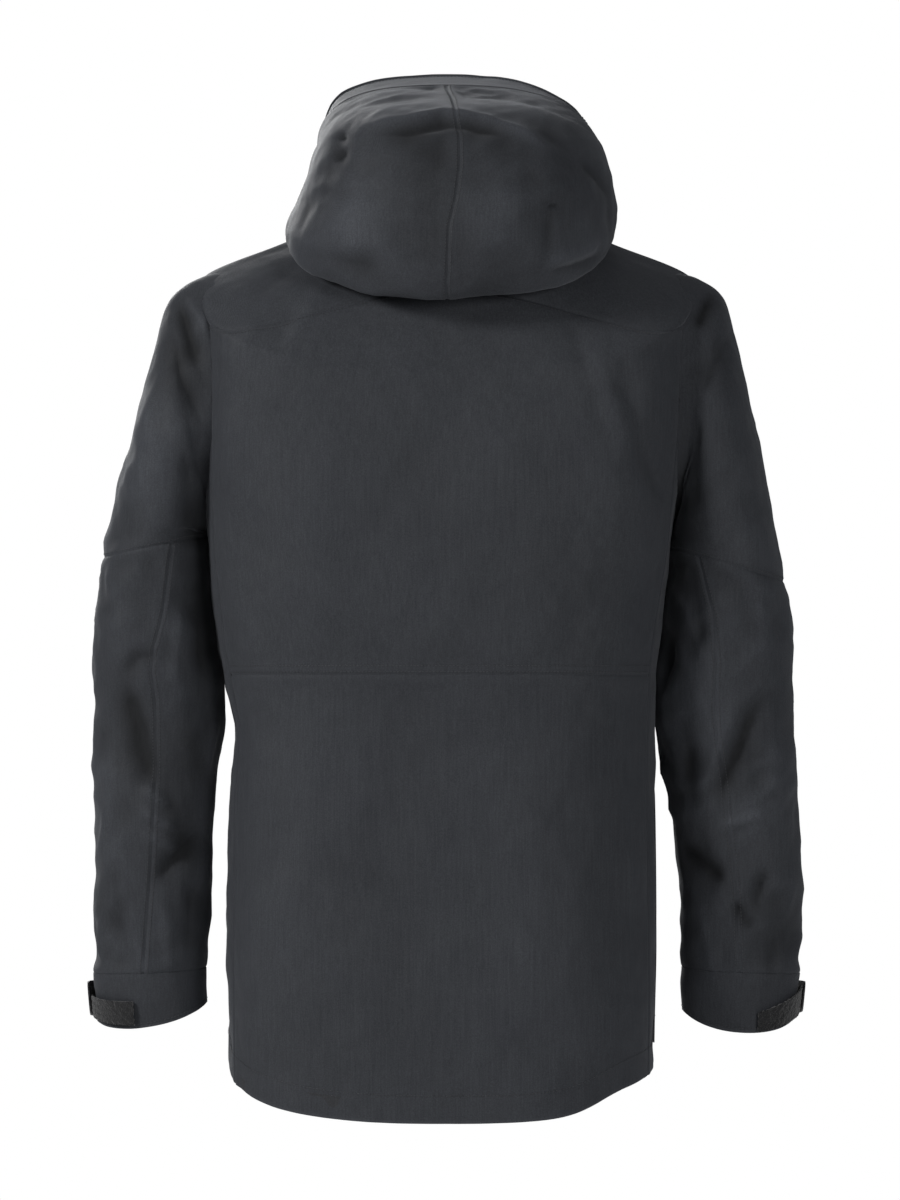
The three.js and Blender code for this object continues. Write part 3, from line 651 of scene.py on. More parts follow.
def hang(piece, hold, finish, *nodes):
    """Parents a piece to its body's empty when the hold is a body's name, or else bakes its transform into
    its mesh; and hides the CAD nodes that it stands in for.
    """
    if isinstance(hold, str):
        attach(piece, hold)
    else:
        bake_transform(piece)
    if nodes:
        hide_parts(*nodes)


def inset(grid, normal, edge, distance):
    """The line of points on a grid that runs the given distance in from one edge, and its normals."""
    if edge in ("low", "high"):
        grid, normal = np.swapaxes(grid, 0, 1), np.swapaxes(normal, 0, 1)
    if edge in ("right", "high"):
        grid, normal = grid[::-1], normal[::-1]
    walked = lengths_along(grid, 0)
    line, up = [
        np.array([
            [np.interp(distance, walked[:, k], values[:, k, c]) for c in range(3)]
            for k in range(grid.shape[1])
        ])
        for values in (grid, normal)
    ]
    return line, unit(up)


def walk(line, spacing):
    """Places at an even spacing along a line: indexes and shares between its points."""
    step = np.linalg.norm(np.diff(line, axis=0), axis=1)
    walked = np.concatenate([[0], np.cumsum(step)])
    return np.interp(np.arange(spacing / 2, walked[-1], spacing), walked, np.arange(len(line)))


def at_places(values, places):
    low = np.clip(places.astype(int), 0, len(values) - 2)
    f = (places - low)[:, None]
    return values[low] * (1 - f) + values[low + 1] * f


def ring_faces(rings, sides):
    """Quads between each ring of points and the next."""
    turns = [(s, (s + 1) % sides) for s in range(sides)]
    return [
        [k * sides + s, k * sides + n, (k + 1) * sides + n, (k + 1) * sides + s]
        for k in range(rings - 1) for s, n in turns
    ]


STITCH_PITCH = 0.0032
STITCH_LENGTH = 0.0023
STITCH_RADIUS = 0.00032
# Along the stitch, thickness and lift of each ring of points, as shares of its length and radius.
STITCH_RINGS = [(-0.5, 0.35, -0.6), (-0.3, 1.0, 0.1), (0.3, 1.0, 0.1), (0.5, 0.35, -0.6)]
STITCH_SIDES = 5


def stitches(name, line, up):
    """A row of stitches: short rounded bars lying on the cloth."""
    places = walk(line, STITCH_PITCH)
    centre, normal = at_places(line, places), at_places(up, places)
    tangent = unit(np.gradient(centre, axis=0))
    normal = unit(normal - tangent * (normal * tangent).sum(1, keepdims=True))
    side = np.cross(tangent, normal)
    points = []
    for along, thick, lift in STITCH_RINGS:
        for k in range(STITCH_SIDES):
            angle = TAU * k / STITCH_SIDES
            points.append(
                centre + tangent * along * STITCH_LENGTH
                + side * (math.cos(angle) * thick * STITCH_RADIUS)
                + normal * ((math.sin(angle) * thick + lift + 0.5) * STITCH_RADIUS)
            )
    size = len(points)
    starts = np.arange(len(places)) * size
    quads = np.array(ring_faces(len(STITCH_RINGS), STITCH_SIDES)) + starts[:, None, None]
    first = np.arange(STITCH_SIDES)[::-1] + starts[:, None]
    last = np.arange(size - STITCH_SIDES, size) + starts[:, None]
    faces = [*quads.reshape(-1, 4), *first, *last]
    return link_mesh(name, np.stack(points, 1).reshape(-1, 3), faces, [THREAD])


def tube(name, line, radius, material, sides=8):
    """A cord or a rolled edge along a line of points."""
    tangent = unit(np.gradient(line, axis=0))
    up = np.zeros_like(line)
    up[0] = np.cross(tangent[0], [0.31, 0.27, 0.91])
    for k in range(len(line)):
        previous = up[max(k - 1, 0)]
        up[k] = previous - tangent[k] * (previous @ tangent[k])
        up[k] /= np.linalg.norm(up[k])
    side = np.cross(tangent, up)
    angles = (TAU * np.arange(sides) / sides)[None, :, None]
    points = line[:, None] + radius * (up[:, None] * np.cos(angles) + side[:, None] * np.sin(angles))
    ends = [range(sides)[::-1], range((len(line) - 1) * sides, len(line) * sides)]
    return link_mesh(name, points.reshape(-1, 3), ring_faces(len(line), sides) + ends, [material])


# ---- Folds, as lines of (x, z) seen from behind, with width and height in millimetres ----
TORSO_FOLDS = [
    ([[135, 1], [178, -33]], 10, -2.6), ([[106, -13], [147, -82]], 13, 2.4),
    ([[135, -36], [152, -76]], 10, -1.8), ([[166, -50], [200, -99]], 11, 1.8),
    ([[-108, -36], [-142, -159]], 11, -1.8), ([[-150, -79], [-193, -216]], 13, -2.2),
    ([[-165, -150], [-199, -222]], 9, -2.6), ([[-128, -60], [-168, -190]], 13, 1.8),
    ([[105, -140], [112, -336]], 36, 1.6), ([[-101, -121], [-115, -354]], 36, -1.4),
    ([[20, -110], [14, -350]], 48, -1.2), ([[132, -408], [141, -704]], 34, 1.9),
    ([[42, -408], [46, -728]], 42, -1.7), ([[-66, -408], [-75, -734]], 42, 1.9),
    ([[-146, -408], [-157, -695]], 28, -1.8), ([[180, -395], [150, -440]], 12, -1.4),
    ([[-170, -392], [-140, -436]], 12, -1.4), ([[60, -376], [-70, -380]], 9, 0.7),
]
SLEEVE_FOLDS = {
    "left": [
        ([[246, -28], [223, -97]], 8, -4.5), ([[255, -54], [246, -91], [217, -149]], 9, -3.6),
        ([[238, -28], [214, -65]], 6.5, 2.8), ([[268, -104], [277, -230]], 20, 1.8),
        ([[237, -158], [232, -266]], 10, -2.6), ([[297, -266], [302, -348]], 12, 1.8),
        ([[241, -303], [248, -393]], 10, 2.4), ([[295, -375], [280, -356], [259, -358]], 7, -3.4),
        ([[295, -375], [268, -465], [255, -483]], 12, -5.5), ([[277, -474], [249, -494]], 5, 2.8),
        ([[279, -494], [245, -515]], 5, 2.8), ([[277, -515], [243, -534]], 5, 2.4),
        ([[268, -565], [219, -511]], 9, -4.4), ([[223, -474], [204, -402]], 4.5, 2.2),
        ([[304, -530], [297, -628]], 9, -2.2), ([[259, -574], [252, -650]], 9, 2.2),
        ([[232, -556], [236, -628]], 7, -2.4), ([[310, -420], [303, -500]], 10, 2.4),
        ([[225, -300], [222, -380]], 8, -2.6), ([[285, -600], [270, -655]], 8, 1.6),
    ],
    "right": [
        ([[-241, -28], [-224, -60]], 7, -4.4), ([[-260, -59], [-229, -122]], 9, -2.6),
        ([[-208, -323], [-193, -398]], 7, -3.2), ([[-287, -387], [-244, -491]], 9, -4.6),
        ([[-294, -495], [-244, -512]], 6, 4.0), ([[-208, -530], [-255, -563]], 8, -4.4),
        ([[-259, -577], [-278, -607]], 6, -3.4), ([[-290, -545], [-279, -598]], 6, -2.8),
        ([[-265, -393], [-229, -483]], 9, 2.4), ([[-301, -420], [-292, -484]], 8, 2.4),
        ([[-229, -575], [-247, -665]], 10, 1.8), ([[-262, -90], [-281, -230]], 20, 1.8),
        ([[-225, -130], [-222, -240]], 9, -2.4), ([[-285, -300], [-294, -380]], 12, 1.8),
        ([[-216, -420], [-222, -500]], 8, -2.6), ([[-300, -600], [-296, -660]], 8, -1.8),
        ([[-235, -330], [-246, -440]], 12, 1.4),
    ],
}
# Painted shade: strips of the sleeves that stay in shadow, darkened in the colour only and not in the
# shape, laid out like the folds.
SHADES = {
    "left": [
        ([[226, -150], [222, -300], [214, -420]], 13, -1.5), ([[262, -470], [226, -560]], 15, -0.9),
        ([[236, -420], [214, -480]], 12, -0.8), ([[230, -560], [226, -640]], 10, -0.7),
        ([[292, -378], [268, -462]], 8, -0.7), ([[246, -30], [224, -100]], 6, -0.6),
    ],
    "right": [
        ([[-216, -150], [-204, -300], [-196, -400]], 13, -1.3), ([[-208, -525], [-256, -564]], 9, -1.0),
        ([[-244, -20], [-224, -64]], 6, -0.8), ([[-280, -400], [-244, -490]], 9, -0.6),
        ([[-222, -430], [-214, -500]], 11, -0.8), ([[-262, -580], [-280, -606]], 6, -0.6),
        ([[-226, -590], [-222, -650]], 9, -0.6),
    ],
}
HOOD_FOLDS = [
    ([[79, 121], [36, 126], [5, 134], [-32, 128], [-64, 115], [-91, 101], [-114, 92]], 6, 4.2),
    ([[76, 112], [40, 116], [0, 124], [-40, 117], [-70, 104]], 8, -4.2),
    ([[90, 101], [104, 90]], 8, -3.4), ([[100, 110], [93, 117]], 5, -3.0),
    ([[-94, 49], [-87, 0], [-77, -20]], 4, -1.6), ([[-95, 49], [-94, 46]], 5, -2.4),
    ([[-116, 92], [-139, 71], [-150, 54]], 5, -2.8), ([[-86, -5], [-118, 6], [-139, 19]], 6, 3.2),
    ([[-86, -13], [-121, -3], [-142, 9]], 5, -3.2), ([[6, 120], [8, 60], [12, -20]], 30, -1.6),
    ([[84, 60], [92, -5]], 24, 2.4), ([[-50, 70], [-44, 0]], 26, 1.8),
    ([[120, 60], [138, 20]], 10, -2.2), ([[60, -10], [110, 2]], 9, -1.8),
]


def leaning(grid, seed, lean, wavelength):
    """Sharp furrows drawn out along a direction that leans from the vertical, in degrees."""
    x, y, z = np.moveaxis(grid, -1, 0)
    c, s = math.cos(math.radians(lean)), math.sin(math.radians(lean))
    turned = np.stack([x * c - z * s, 0.7 * y, 0.32 * (x * s + z * c)], -1)
    return np.sqrt(plane_waves(turned, seed, wavelength) ** 2 + 0.008)


BROAD = 0.0013  # height of the broad hollows in every panel
SMALL = 0.0003  # height of its small ripples


def crumple(grid, seed, creased):
    """Broad soft hollows and faint ripples, and sharp creases that cross where a panel is worn."""
    height = (
        BROAD * plane_waves(grid, 11, 0.13)
        + 0.5 * BROAD * plane_waves(grid, seed + 5, 0.055)
        + SMALL * plane_waves(grid, seed + 9, 0.019)
    )
    if creased:
        where = 0.3 + 0.7 * smooth_rise(plane_waves(grid, seed + 13, 0.11), -0.6, 0.8)
        furrows = leaning(grid, seed + 17, 38, 0.040) + 0.8 * leaning(grid, seed + 19, -48, 0.034)
        height -= creased * where * (furrows - 1.1)
    return height


EVEN = (0, 0, 0, 0)  # a grid with no closer rows beside its edges


def surface_grid(surface, us, low, high, width, height, fine=(1, 1, 1, 1)):
    """A grid on a surface, between two edges in u and two in v, with its columns evenly spaced."""
    s = graded(width, fine[:2])
    t = graded(height, fine[2:])
    start, end = (at(edge, t) for edge in us)

    def place(share):
        u = start + (end - start) * share + 0 * t[None, :]
        lows = at(low, u)
        return surface(u, lows + (at(high, u) - lows) * t[None, :])

    dense = np.linspace(0, 1, 1201)[:, None]
    walked = lengths_along(place(dense), 0)
    walked /= walked[-1]
    shares = [np.interp(s, walked[:, k], dense[:, 0]) for k in range(len(t))]
    return place(np.stack(shares, 1))


ARMHOLE_X = 0.165  # the armholes lie farther out than this
ARMHOLE_Y, ARMHOLE_Z = -0.070, -0.121
ARMHOLE_DEPTH, ARMHOLE_HEIGHT = 0.070, 0.1085  # half sizes
SNAP = 0.0045


def armhole(grid):
    y = (grid[..., 1] - ARMHOLE_Y) / ARMHOLE_DEPTH
    z = (grid[..., 2] - ARMHOLE_Z) / ARMHOLE_HEIGHT
    return (np.abs(grid[..., 0]) > ARMHOLE_X) & (y * y + z * z < 1)


def snap_to_armhole(grid):
    """Moves the grid points nearest to the armhole onto its line, so that its edge is clean."""
    y, z = grid[..., 1] - ARMHOLE_Y, grid[..., 2] - ARMHOLE_Z
    size = np.maximum(np.hypot(y / ARMHOLE_DEPTH, z / ARMHOLE_HEIGHT), 1e-6)
    reach = np.hypot(y, z) * (1 / size - 1)
    near = (np.abs(reach) < SNAP / 2) & (np.abs(grid[..., 0]) > ARMHOLE_X)
    scale = np.where(near, 1.0005 / size, 1.0)
    return np.stack([grid[..., 0], ARMHOLE_Y + y * scale, ARMHOLE_Z + z * scale], -1)


POCKET_X, POCKET_Z = 0.124, -0.415  # upper end of the pocket zips
POCKET_LEAN, POCKET_DROP = 0.016, 0.16
QUIET_NEAR = 0.011  # cloth this close to a zip is flat


def quiet(grid):
    """Near the front and pocket zips the cloth lies flat."""
    x, y, z = np.moveaxis(grid, -1, 0)
    share = smooth_rise(np.abs(x), QUIET_NEAR, 0.035)
    along = np.clip((POCKET_Z - z) / POCKET_DROP, 0, 1)
    away = np.hypot(np.abs(x) - (POCKET_X + POCKET_LEAN * along), z - (POCKET_Z - POCKET_DROP * along))
    return np.where(y < -0.12, share * smooth_rise(away, QUIET_NEAR, 0.032), 1.0)


# A fold this deep gets the full painted shade or painted highlight in the colour.
FULL_SHADING_DEPTH = 0.0065
HOLD_WIDTH = 0.016  # a panel's own crumples fade this close to a seam, so that panels meet


def shaped(
    grid, outward, folds, seed, seams, still=(), closed=False, facing=1.0, calm=1.0,
    other=(), creased=0.0, dim=1.0, shades=(),
):
    """Adds folds, crumples and seam grooves to a plain grid, and returns each point's painted shading:
    painted shade in furrows and in the given shades, painted highlight on ridges.
    """
    normal = normals_of(grid, closed) * outward
    away = edge_distances(grid)
    held = math.prod(smooth_rise(away[edge], 0.0, HOLD_WIDTH) for edge in (*seams, *still))
    height = folds_on(grid, normal, folds, facing) + calm * held * crumple(grid, seed, creased)
    if other:
        height += folds_on(grid, normal, other, -facing)
    # Painted shading: darker where the cloth is folded in, lighter on the ridges, scaled by dim.
    painted_fold_shading = dim * height * quiet(grid) / FULL_SHADING_DEPTH
    # Painted shade from the listed shades, added to the colour only.
    painted_fold_shading += folds_on(grid, normal, shades, facing) / (MM * FOLD_GAIN)
    grid = grid + normal * (height * quiet(grid))[..., None]
    normal = normals_of(grid, closed) * outward
    return seamed(grid, normal, seams), np.clip(painted_fold_shading, -1.5, 1.0)


ZIP_EDGE_X = 0.0097


def zip_edge(v):
    """The angle at which the left front edge of the torso stands beside the zip."""
    half, square = between(TORSO, v)[..., 0], between(TORSO, v)[..., 5]
    return TAU - np.arccos((ZIP_EDGE_X / half) ** (square / 2))


def front_grid(low, high, end, height):
    """A grid on the left front, from the zip to an end angle at the side."""
    s = graded(0.20, (1, 1))[:, None]
    t = graded(height, (1, 1))[None, :]
    u = np.linspace(1.5 * math.pi, end, len(s))[:, None] + 0 * t
    for _ in range(6):
        lows = at(low, u)
        v = lows + (at(high, u) - lows) * t
        start = zip_edge(v)
        u = start + (end - start) * s
    return torso(u, v)


def shifted(folds, x_shift, z_shift):
    """The same folds on the other side of the jacket, a little out of place."""
    return [([[x_shift - x, z + z_shift] for x, z in line], w, h) for line, w, h in folds]


FRONT_FOLDS = [
    ([[150, -30], [90, -110]], 16, 2.0), ([[178, -60], [150, -190]], 16, -2.0),
    ([[60, -120], [70, -330]], 34, 1.6), ([[110, -150], [125, -350]], 30, -1.6),
    ([[40, -420], [44, -650]], 30, 1.4), ([[95, -430], [98, -680]], 34, -1.8),
    ([[165, -430], [172, -690]], 26, 1.8), ([[185, -380], [130, -420]], 14, -1.8),
]
FRONT_FOLDS += shifted(FRONT_FOLDS, -6, -9)
SIDES = (("left", 1), ("right", -1))
HEM_STITCH = 0.025
stitch_rows = []


def stitch(name, grid, up, edge, distance, hold="torso"):
    stitch_rows.append((name, *inset(grid, up, edge, distance), hold))


def torso_panel(name, grid, outward, seams, seed, node, facing=1.0, wear=(), still=()):
    folds = TORSO_FOLDS if facing > 0 else FRONT_FOLDS
    grid, painted_fold_shading = shaped(grid, outward, folds, seed, seams, still, facing=facing, dim=0.3)
    grid = snap_to_armhole(grid)
    piece = cloth(name, grid, outward, hole=armhole, wear=wear, painted_fold_shading=painted_fold_shading)
    hang(piece, "torso", "shell_fabric", node)
    return piece, grid, normals_of(grid) * outward


def back_panel(name, us, low, high, width, height, seams, seed, node, still=(), wear=()):
    grid = surface_grid(torso, us, low, high, width, height)
    return torso_panel(name, grid, 1, seams, seed, node, wear=wear, still=still)


BACK = (SIDE_SEAM, math.pi - SIDE_SEAM)
back_panel(
    "cloth_back_yoke", (0.0, math.pi), yoke_seam, NECK, 0.46, 0.14,
    ("low",), 1, "back_yoke", still=("left", "right"),
)
_, grid, up = back_panel(
    "cloth_back_upper", BACK, WAIST, yoke_seam, 0.45, 0.33,
    ("low", "high", "left", "right"), 2, "back_upper_panel",
)
stitch("yoke", grid, up, "high", 0.003)
stitch("waist", grid, up, "low", 0.0028)
stitch("waist_upper", grid, up, "low", 0.0085)
_, grid, up = back_panel(
    "cloth_back_lower", BACK, 0, WAIST, 0.42, 0.38,
    ("high", "left", "right"), 3, "back_lower_panel", wear=("low",),
)
stitch("hem_back", grid, up, "low", HEM_STITCH)
for side, middle, seed in (("left", 0.0, 4), ("right", math.pi, 5)):
    _, grid, up = back_panel(
        f"cloth_side_{side}", (middle - SIDE_SEAM, middle + SIDE_SEAM), 0, yoke_seam, 0.11, 0.70,
        ("left", "right", "high"), seed, f"{side}_side_panel", wear=("low",),
    )
    stitch(f"hem_side_{side}", grid, up, "low", HEM_STITCH)


# ---- Pocket slots ----
def slot_cutter(node):
    """A box round a box-shaped CAD node, a little larger, and deep enough to go through the cloth."""
    points = np.array([v.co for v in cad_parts[node].data.vertices], float)
    corners = np.unique(np.round(points, 6), axis=0)
    middle = corners.mean(0)
    axes = np.linalg.eigh(np.cov((corners - middle).T))[1][:, ::-1].T
    half = [np.abs((corners - middle) @ axis).max() for axis in axes]
    reach = [half[0] + 0.0004, half[1] + 0.0004, 0.014]
    points = [
        middle + sum(axes[k] * reach[k] * sign[k] for k in range(3))
        for sign in [(a, b, c) for a in (-1, 1) for b in (-1, 1) for c in (-1, 1)]
    ]
    faces = [(0, 1, 3, 2), (4, 6, 7, 5), (0, 4, 5, 1), (2, 3, 7, 6), (0, 2, 6, 4), (1, 5, 7, 3)]
    mesh = bpy.data.meshes.new("cutter")
    mesh.from_pydata([tuple(p) for p in points], [], faces)
    if np.linalg.det(axes) < 0:
        mesh.flip_normals()
    cutter = bpy.data.objects.new("cutter", mesh)
    scene.collection.objects.link(cutter)
    return cutter


def cut_slot(piece, node):
    cutter = slot_cutter(node)
    modifier = piece.modifiers.new("slot", "BOOLEAN")
    modifier.operation = "DIFFERENCE"
    modifier.solver = "EXACT"
    modifier.object = cutter
    bpy.context.view_layer.update()
    evaluated = piece.evaluated_get(bpy.context.evaluated_depsgraph_get())
    mesh = bpy.data.meshes.new_from_object(evaluated)
    piece.modifiers.clear()
    piece.data = mesh
    bpy.data.objects.remove(cutter)


def mirrored(grid, sign):
    return grid * [sign, 1, 1]


front_lower = front_grid(0, yoke_seam, TAU - SIDE_SEAM, 0.62)
front_upper = front_grid(yoke_seam, NECK, TAU, 0.16)
for (side, sign), seed in zip(SIDES, (6, 7)):
    piece, grid, up = torso_panel(
        f"cloth_front_{side}", mirrored(front_lower, sign), sign, ("left", "right", "high"), seed,
        f"{side}_front_panel", facing=-1.0, wear=("low", "left"),
    )
    cut_slot(piece, f"{side}_pocket_zip")
    stitch(f"hem_front_{side}", grid, up, "low", HEM_STITCH)
    stitch(f"front_edge_{side}", grid, up, "left", 0.006)
    stitch(f"front_yoke_{side}", grid, up, "high", 0.003)
    torso_panel(
        f"cloth_front_yoke_{side}", mirrored(front_upper, sign), sign, ("left", "low"), seed + 2,
        f"{side}_front_yoke", facing=-1.0, wear=("left",), still=("right",),
    )


# ---- Facings and linings ----
FRONT = 1.5 * math.pi  # the angle of the middle of the front


def torso_part(name, grid, thickness, node, finish=INSIDE, slot="lining", outward=1, wear=()):
    piece = cloth(name, grid, outward, thickness, finish, wear=wear)
    hang(piece, "torso", slot, node)


def round_front(degrees):
    """From one side of the front zip to the other, round the back, starting so many degrees from it."""
    return FRONT + math.radians(degrees), FRONT + TAU - math.radians(degrees)


hem_line = surface_grid(torso, round_front(3.2), 0, 0.24, 1.15, 0.026, EVEN)
torso_part("cloth_hem_facing", offset(hem_line, -0.0016), 0.0009, "hem_facing")
neck_line = surface_grid(torso, (0.24 * math.pi, 0.76 * math.pi), 8.4, NECK - 0.03, 0.16, 0.05, EVEN)
torso_part("cloth_neck_facing", offset(neck_line, -0.0026), 0.001, "neck_facing")
bag_reach = (FRONT + math.radians(11), FRONT + math.radians(52))
bag = offset(surface_grid(torso, bag_reach, 0.5, 2.55, 0.13, 0.28, EVEN), -0.0085)
bag = offset(bag, 0.001 * plane_waves(bag, 31, 0.05))
for side, sign in SIDES:
    torso_part(
        f"cloth_pocket_bag_{side}", mirrored(bag, sign), 0.001, f"{side}_pocket_bag", outward=sign
    )
flap_x, flap_z = np.meshgrid(np.linspace(-0.015, 0.019, 12), np.linspace(-0.696, 0.012, 200), indexing="ij")
flap_y = zip_y(flap_z) + 0.0094 + 0.0006 * np.sin(flap_z * 41)
torso_part("cloth_storm_flap", np.stack([flap_x, flap_y, flap_z], -1), 0.001, "inner_storm_flap")

# ---- Collar ----
collar_grid = surface_grid(collar, round_front(6.4), 0.03, 2.0, 0.50, 0.058)
collar_grid = offset(collar_grid, 0.0006 * plane_waves(collar_grid, 21, 0.06))
outer_collar = seamed(collar_grid, normals_of(collar_grid), ("low", "high", "left", "right"))
torso_part("cloth_collar", outer_collar, 0.002, "collar_outer", None, "shell_fabric", wear=("high",))
torso_part("cloth_collar_lining", offset(collar_grid, -0.0027), 0.0014, "collar_lining", FLEECE)
chin_reach = (FRONT + math.radians(8), FRONT + math.radians(42))
chin = offset(surface_grid(collar, chin_reach, 0.95, 1.97, 0.055, 0.03), -0.0046)
torso_part("cloth_chin_guard", chin, 0.0012, "chin_guard", FLEECE, "brushed_lining")
stitch("collar_top", outer_collar, normals_of(outer_collar), "high", 0.005)
stitch("collar_foot", outer_collar, normals_of(outer_collar), "low", 0.003)

# ---- Hood ----
NECK_POINT = np.array([0, 0.014, 0.024])
NECK_NORMAL = np.array([0, -0.276, 0.961])
HOOD_HOLD = ("torso", "hood", *[tuple(NECK_POINT + rise * NECK_NORMAL) for rise in (0.004, 0.150)])
hood_edges = []
for side, sign in SIDES:
    grid = surface_grid(hood, (sign * 1.0, sign * 1e-7), 0.0, BRIM_SEAM, 0.34, 0.46)
    grid, painted_fold_shading = shaped(grid, sign, HOOD_FOLDS, 40, ("right", "high"), creased=0.0008, dim=1.5)
    up = normals_of(grid) * sign
    piece = cloth(f"cloth_hood_{side}", grid, sign, 0.0014, wear=("left",), painted_fold_shading=painted_fold_shading)
    hang(piece, HOOD_HOLD, "shell_fabric", f"hood_{side}_panel")
    hood_edges.append(grid[0])
    stitch(f"hood_centre_{side}", grid, up, "right", 0.0028, HOOD_HOLD)
    stitch(f"hood_brim_{side}", grid, up, "high", 0.0028, HOOD_HOLD)
    stitch(f"hood_opening_{side}", grid, up, "left", 0.012, HOOD_HOLD)


def brim_end(share):
    return 0.999 - 0.16 * share**1.5


brim = surface_grid(hood, (brim_end, lambda share: -brim_end(share)), BRIM_SEAM, BRIM_EDGE, 0.44, 0.06)
brim = shaped(brim, 1, HOOD_FOLDS, 44, ("low",), calm=0.5)[0]
piece = cloth("cloth_hood_brim", brim, 1, 0.0018, wear=("high",))
hang(piece, HOOD_HOLD, "shell_fabric", "hood_brim")
stitch("brim_edge", brim, normals_of(brim), "high", 0.006, HOOD_HOLD)
board = offset(surface_grid(hood, (0.55, -0.55), 8.2, 8.88, 0.25, 0.04, EVEN), -0.0028)
hang(cloth("brim_board", board, 1, 0.0012, BOARD), HOOD_HOLD, "brim_board", "brim_stiffener")
outline = np.concatenate([brim[0], brim[1:-1, -1], brim[-1][::-1]])
for name, line in (("left", hood_edges[0]), ("right", hood_edges[1]), ("brim", outline)):
    hang(tube(f"hood_binding_{name}", line, 0.0015, FABRIC), HOOD_HOLD, "shell_fabric")

# A turned ring, as radius and height in millimetres round its section.
OUTLET = [(2.2, 0.2), (3.0, 1.6), (4.2, 2.0), (5.2, 1.2), (5.6, 0.0), (5.4, -0.8), (2.2, -0.8)]
OUTLET_SIDES = 24
for side, sign in SIDES:
    us = np.array([[sign * 0.92, sign * 0.93, sign * 0.94]] * 3).T
    spot = hood(us, np.array([[3.1, 3.2, 3.3]] * 3))
    normal = normals_of(spot)[1, 1]
    normal = normal * np.sign(normal[0] * sign)
    turn = Vector(normal).to_track_quat("Z", "Y").to_matrix()
    points = []
    for k in range(OUTLET_SIDES):
        angle = TAU * k / OUTLET_SIDES
        for r, h in OUTLET:
            place = turn @ Vector((r * math.cos(angle), r * math.sin(angle), h)) * MM
            points.append(Vector(spot[1, 1]) + place)
    n = len(OUTLET)
    turns = [(k * n, (k + 1) % OUTLET_SIDES * n) for k in range(OUTLET_SIDES)]
    faces = [[a + q, b + q, b + (q + 1) % n, a + (q + 1) % n] for a, b in turns for q in range(n)]
    piece = link_mesh(f"cord_outlet_{side}", points, faces, [TRIM])
    hang(piece, HOOD_HOLD, "moulded_trim", f"hood_cord_outlet_{side}")


# ---- Sleeves ----
def sleeve_grid(side, start, end, low, high, width, height, fine=(1, 1, 1, 1)):
    s = graded(width, fine[:2])[:, None]
    t = graded(height, fine[2:])[None, :]
    v = low + (high - low) * t + 0 * s
    first = at(start, v)
    return sleeve(side, first + (at(end, v) - first) * s, v)


def sleeve_cloth(name, side, grid, seams, hold, nodes, calm, creased, **more):
    """Makes one panel of a sleeve, with the folds of both its faces."""
    turn = -1 if side == "left" else 1
    closed, wear = more.get("closed", False), more.get("wear", ())
    grid, painted_fold_shading = shaped(
        grid, turn, SLEEVE_FOLDS[side], 60 if side == "left" else 70, seams, more.get("still", ()),
        closed=closed, calm=calm, creased=creased, shades=SHADES[side],
        other=shifted(SLEEVE_FOLDS["right" if side == "left" else "left"], 0, -6),
    )
    piece = cloth(name, grid, turn, closed=closed, wear=wear, painted_fold_shading=painted_fold_shading)
    hang(piece, hold, "shell_fabric", *[f"{side}_{node}" for node in nodes])
    return grid, normals_of(grid, closed) * turn


def sleeve_panels(side):
    reach = 1 if side == "left" else -1
    shoulder = ("torso", f"{side}_sleeve", (reach * 0.107, 0, -0.107), (reach * 0.233, 0, -0.233))
    elbow = (f"{side}_sleeve", f"{side}_forearm", (0, 0, -0.305), (0, 0, -0.425))
    grid = sleeve_grid(side, 0.0, TAU, 0.0, ELBOW_SEAM, 0.42, 0.34, (0, 0, 0, 1))
    grid, up = sleeve_cloth(
        f"cloth_upper_sleeve_{side}", side, grid, ("high",), shoulder, ["upper_sleeve"], 1.1, 0.0010,
        closed=True,
    )
    stitch(f"elbow_{side}", grid, up, "high", 0.003, f"{side}_sleeve")
    rows, degrees = np.array(BACK_SEAM[side], float).T

    def back_seam(v):
        return np.radians(np.interp(v, rows, degrees))

    for part, first, last, edge, nodes in (
        ("outer", FRONT_SEAM, back_seam, "right", ["forearm_outer", "elbow_panel"]),
        ("inner", back_seam, FRONT_SEAM + TAU, "left", ["forearm_inner"]),
    ):
        grid = sleeve_grid(side, first, last, ELBOW_SEAM, CUFF_SEAM, 0.18, 0.41)
        grid, up = sleeve_cloth(
            f"cloth_forearm_{part}_{side}", side, grid, ("left", "right", "low", "high"), elbow, nodes,
            1.2, 0.0019,
        )
        stitch(f"forearm_{part}_{side}", grid, up, edge, 0.0035, elbow)
    grid = sleeve_grid(side, 0.0, TAU, CUFF_SEAM, SLEEVE_END, 0.30, 0.035, (0, 0, 1, 1))
    grid, up = sleeve_cloth(
        f"cloth_cuff_{side}", side, grid, (), f"{side}_forearm", ["cuff"], 0.8, 0.0003,
        closed=True, wear=("high",), still=("low",),
    )
    stitch(f"cuff_{side}", grid, up, "high", 0.004, f"{side}_forearm")


# ---- Loop patch, tab and hook patch ----
# Lower and upper edges of the loop patch: the sleeve row at the outer edge of the cuff, and how many
# rows farther down the edge runs at the end of the patch.
PATCH_END = 1.3
PATCH_EDGES = {"left": ((16.30, 0.06), (16.80, 0.06)), "right": ((16.10, 0.42), (16.78, 0.16))}
CUFF_STEP = 0.0011


def on_cuff(side, start, end, low, high, width, height, lift):
    """A grid that lies on the cuff at a height above it."""
    s = np.linspace(0, 1, int(width / CUFF_STEP))[:, None]
    r = np.linspace(0, 1, int(height / CUFF_STEP))[None, :]
    t = start + (end - start) * s + 0 * r
    lows = at(low, t)
    grid = sleeve(side, t, lows + (at(high, t) - lows) * r)
    return offset(grid, (-1 if side == "left" else 1) * at(lift, s))


def tab_taper(t):
    return 0.24 * smooth_rise(t, -0.12, 0.13) ** 2


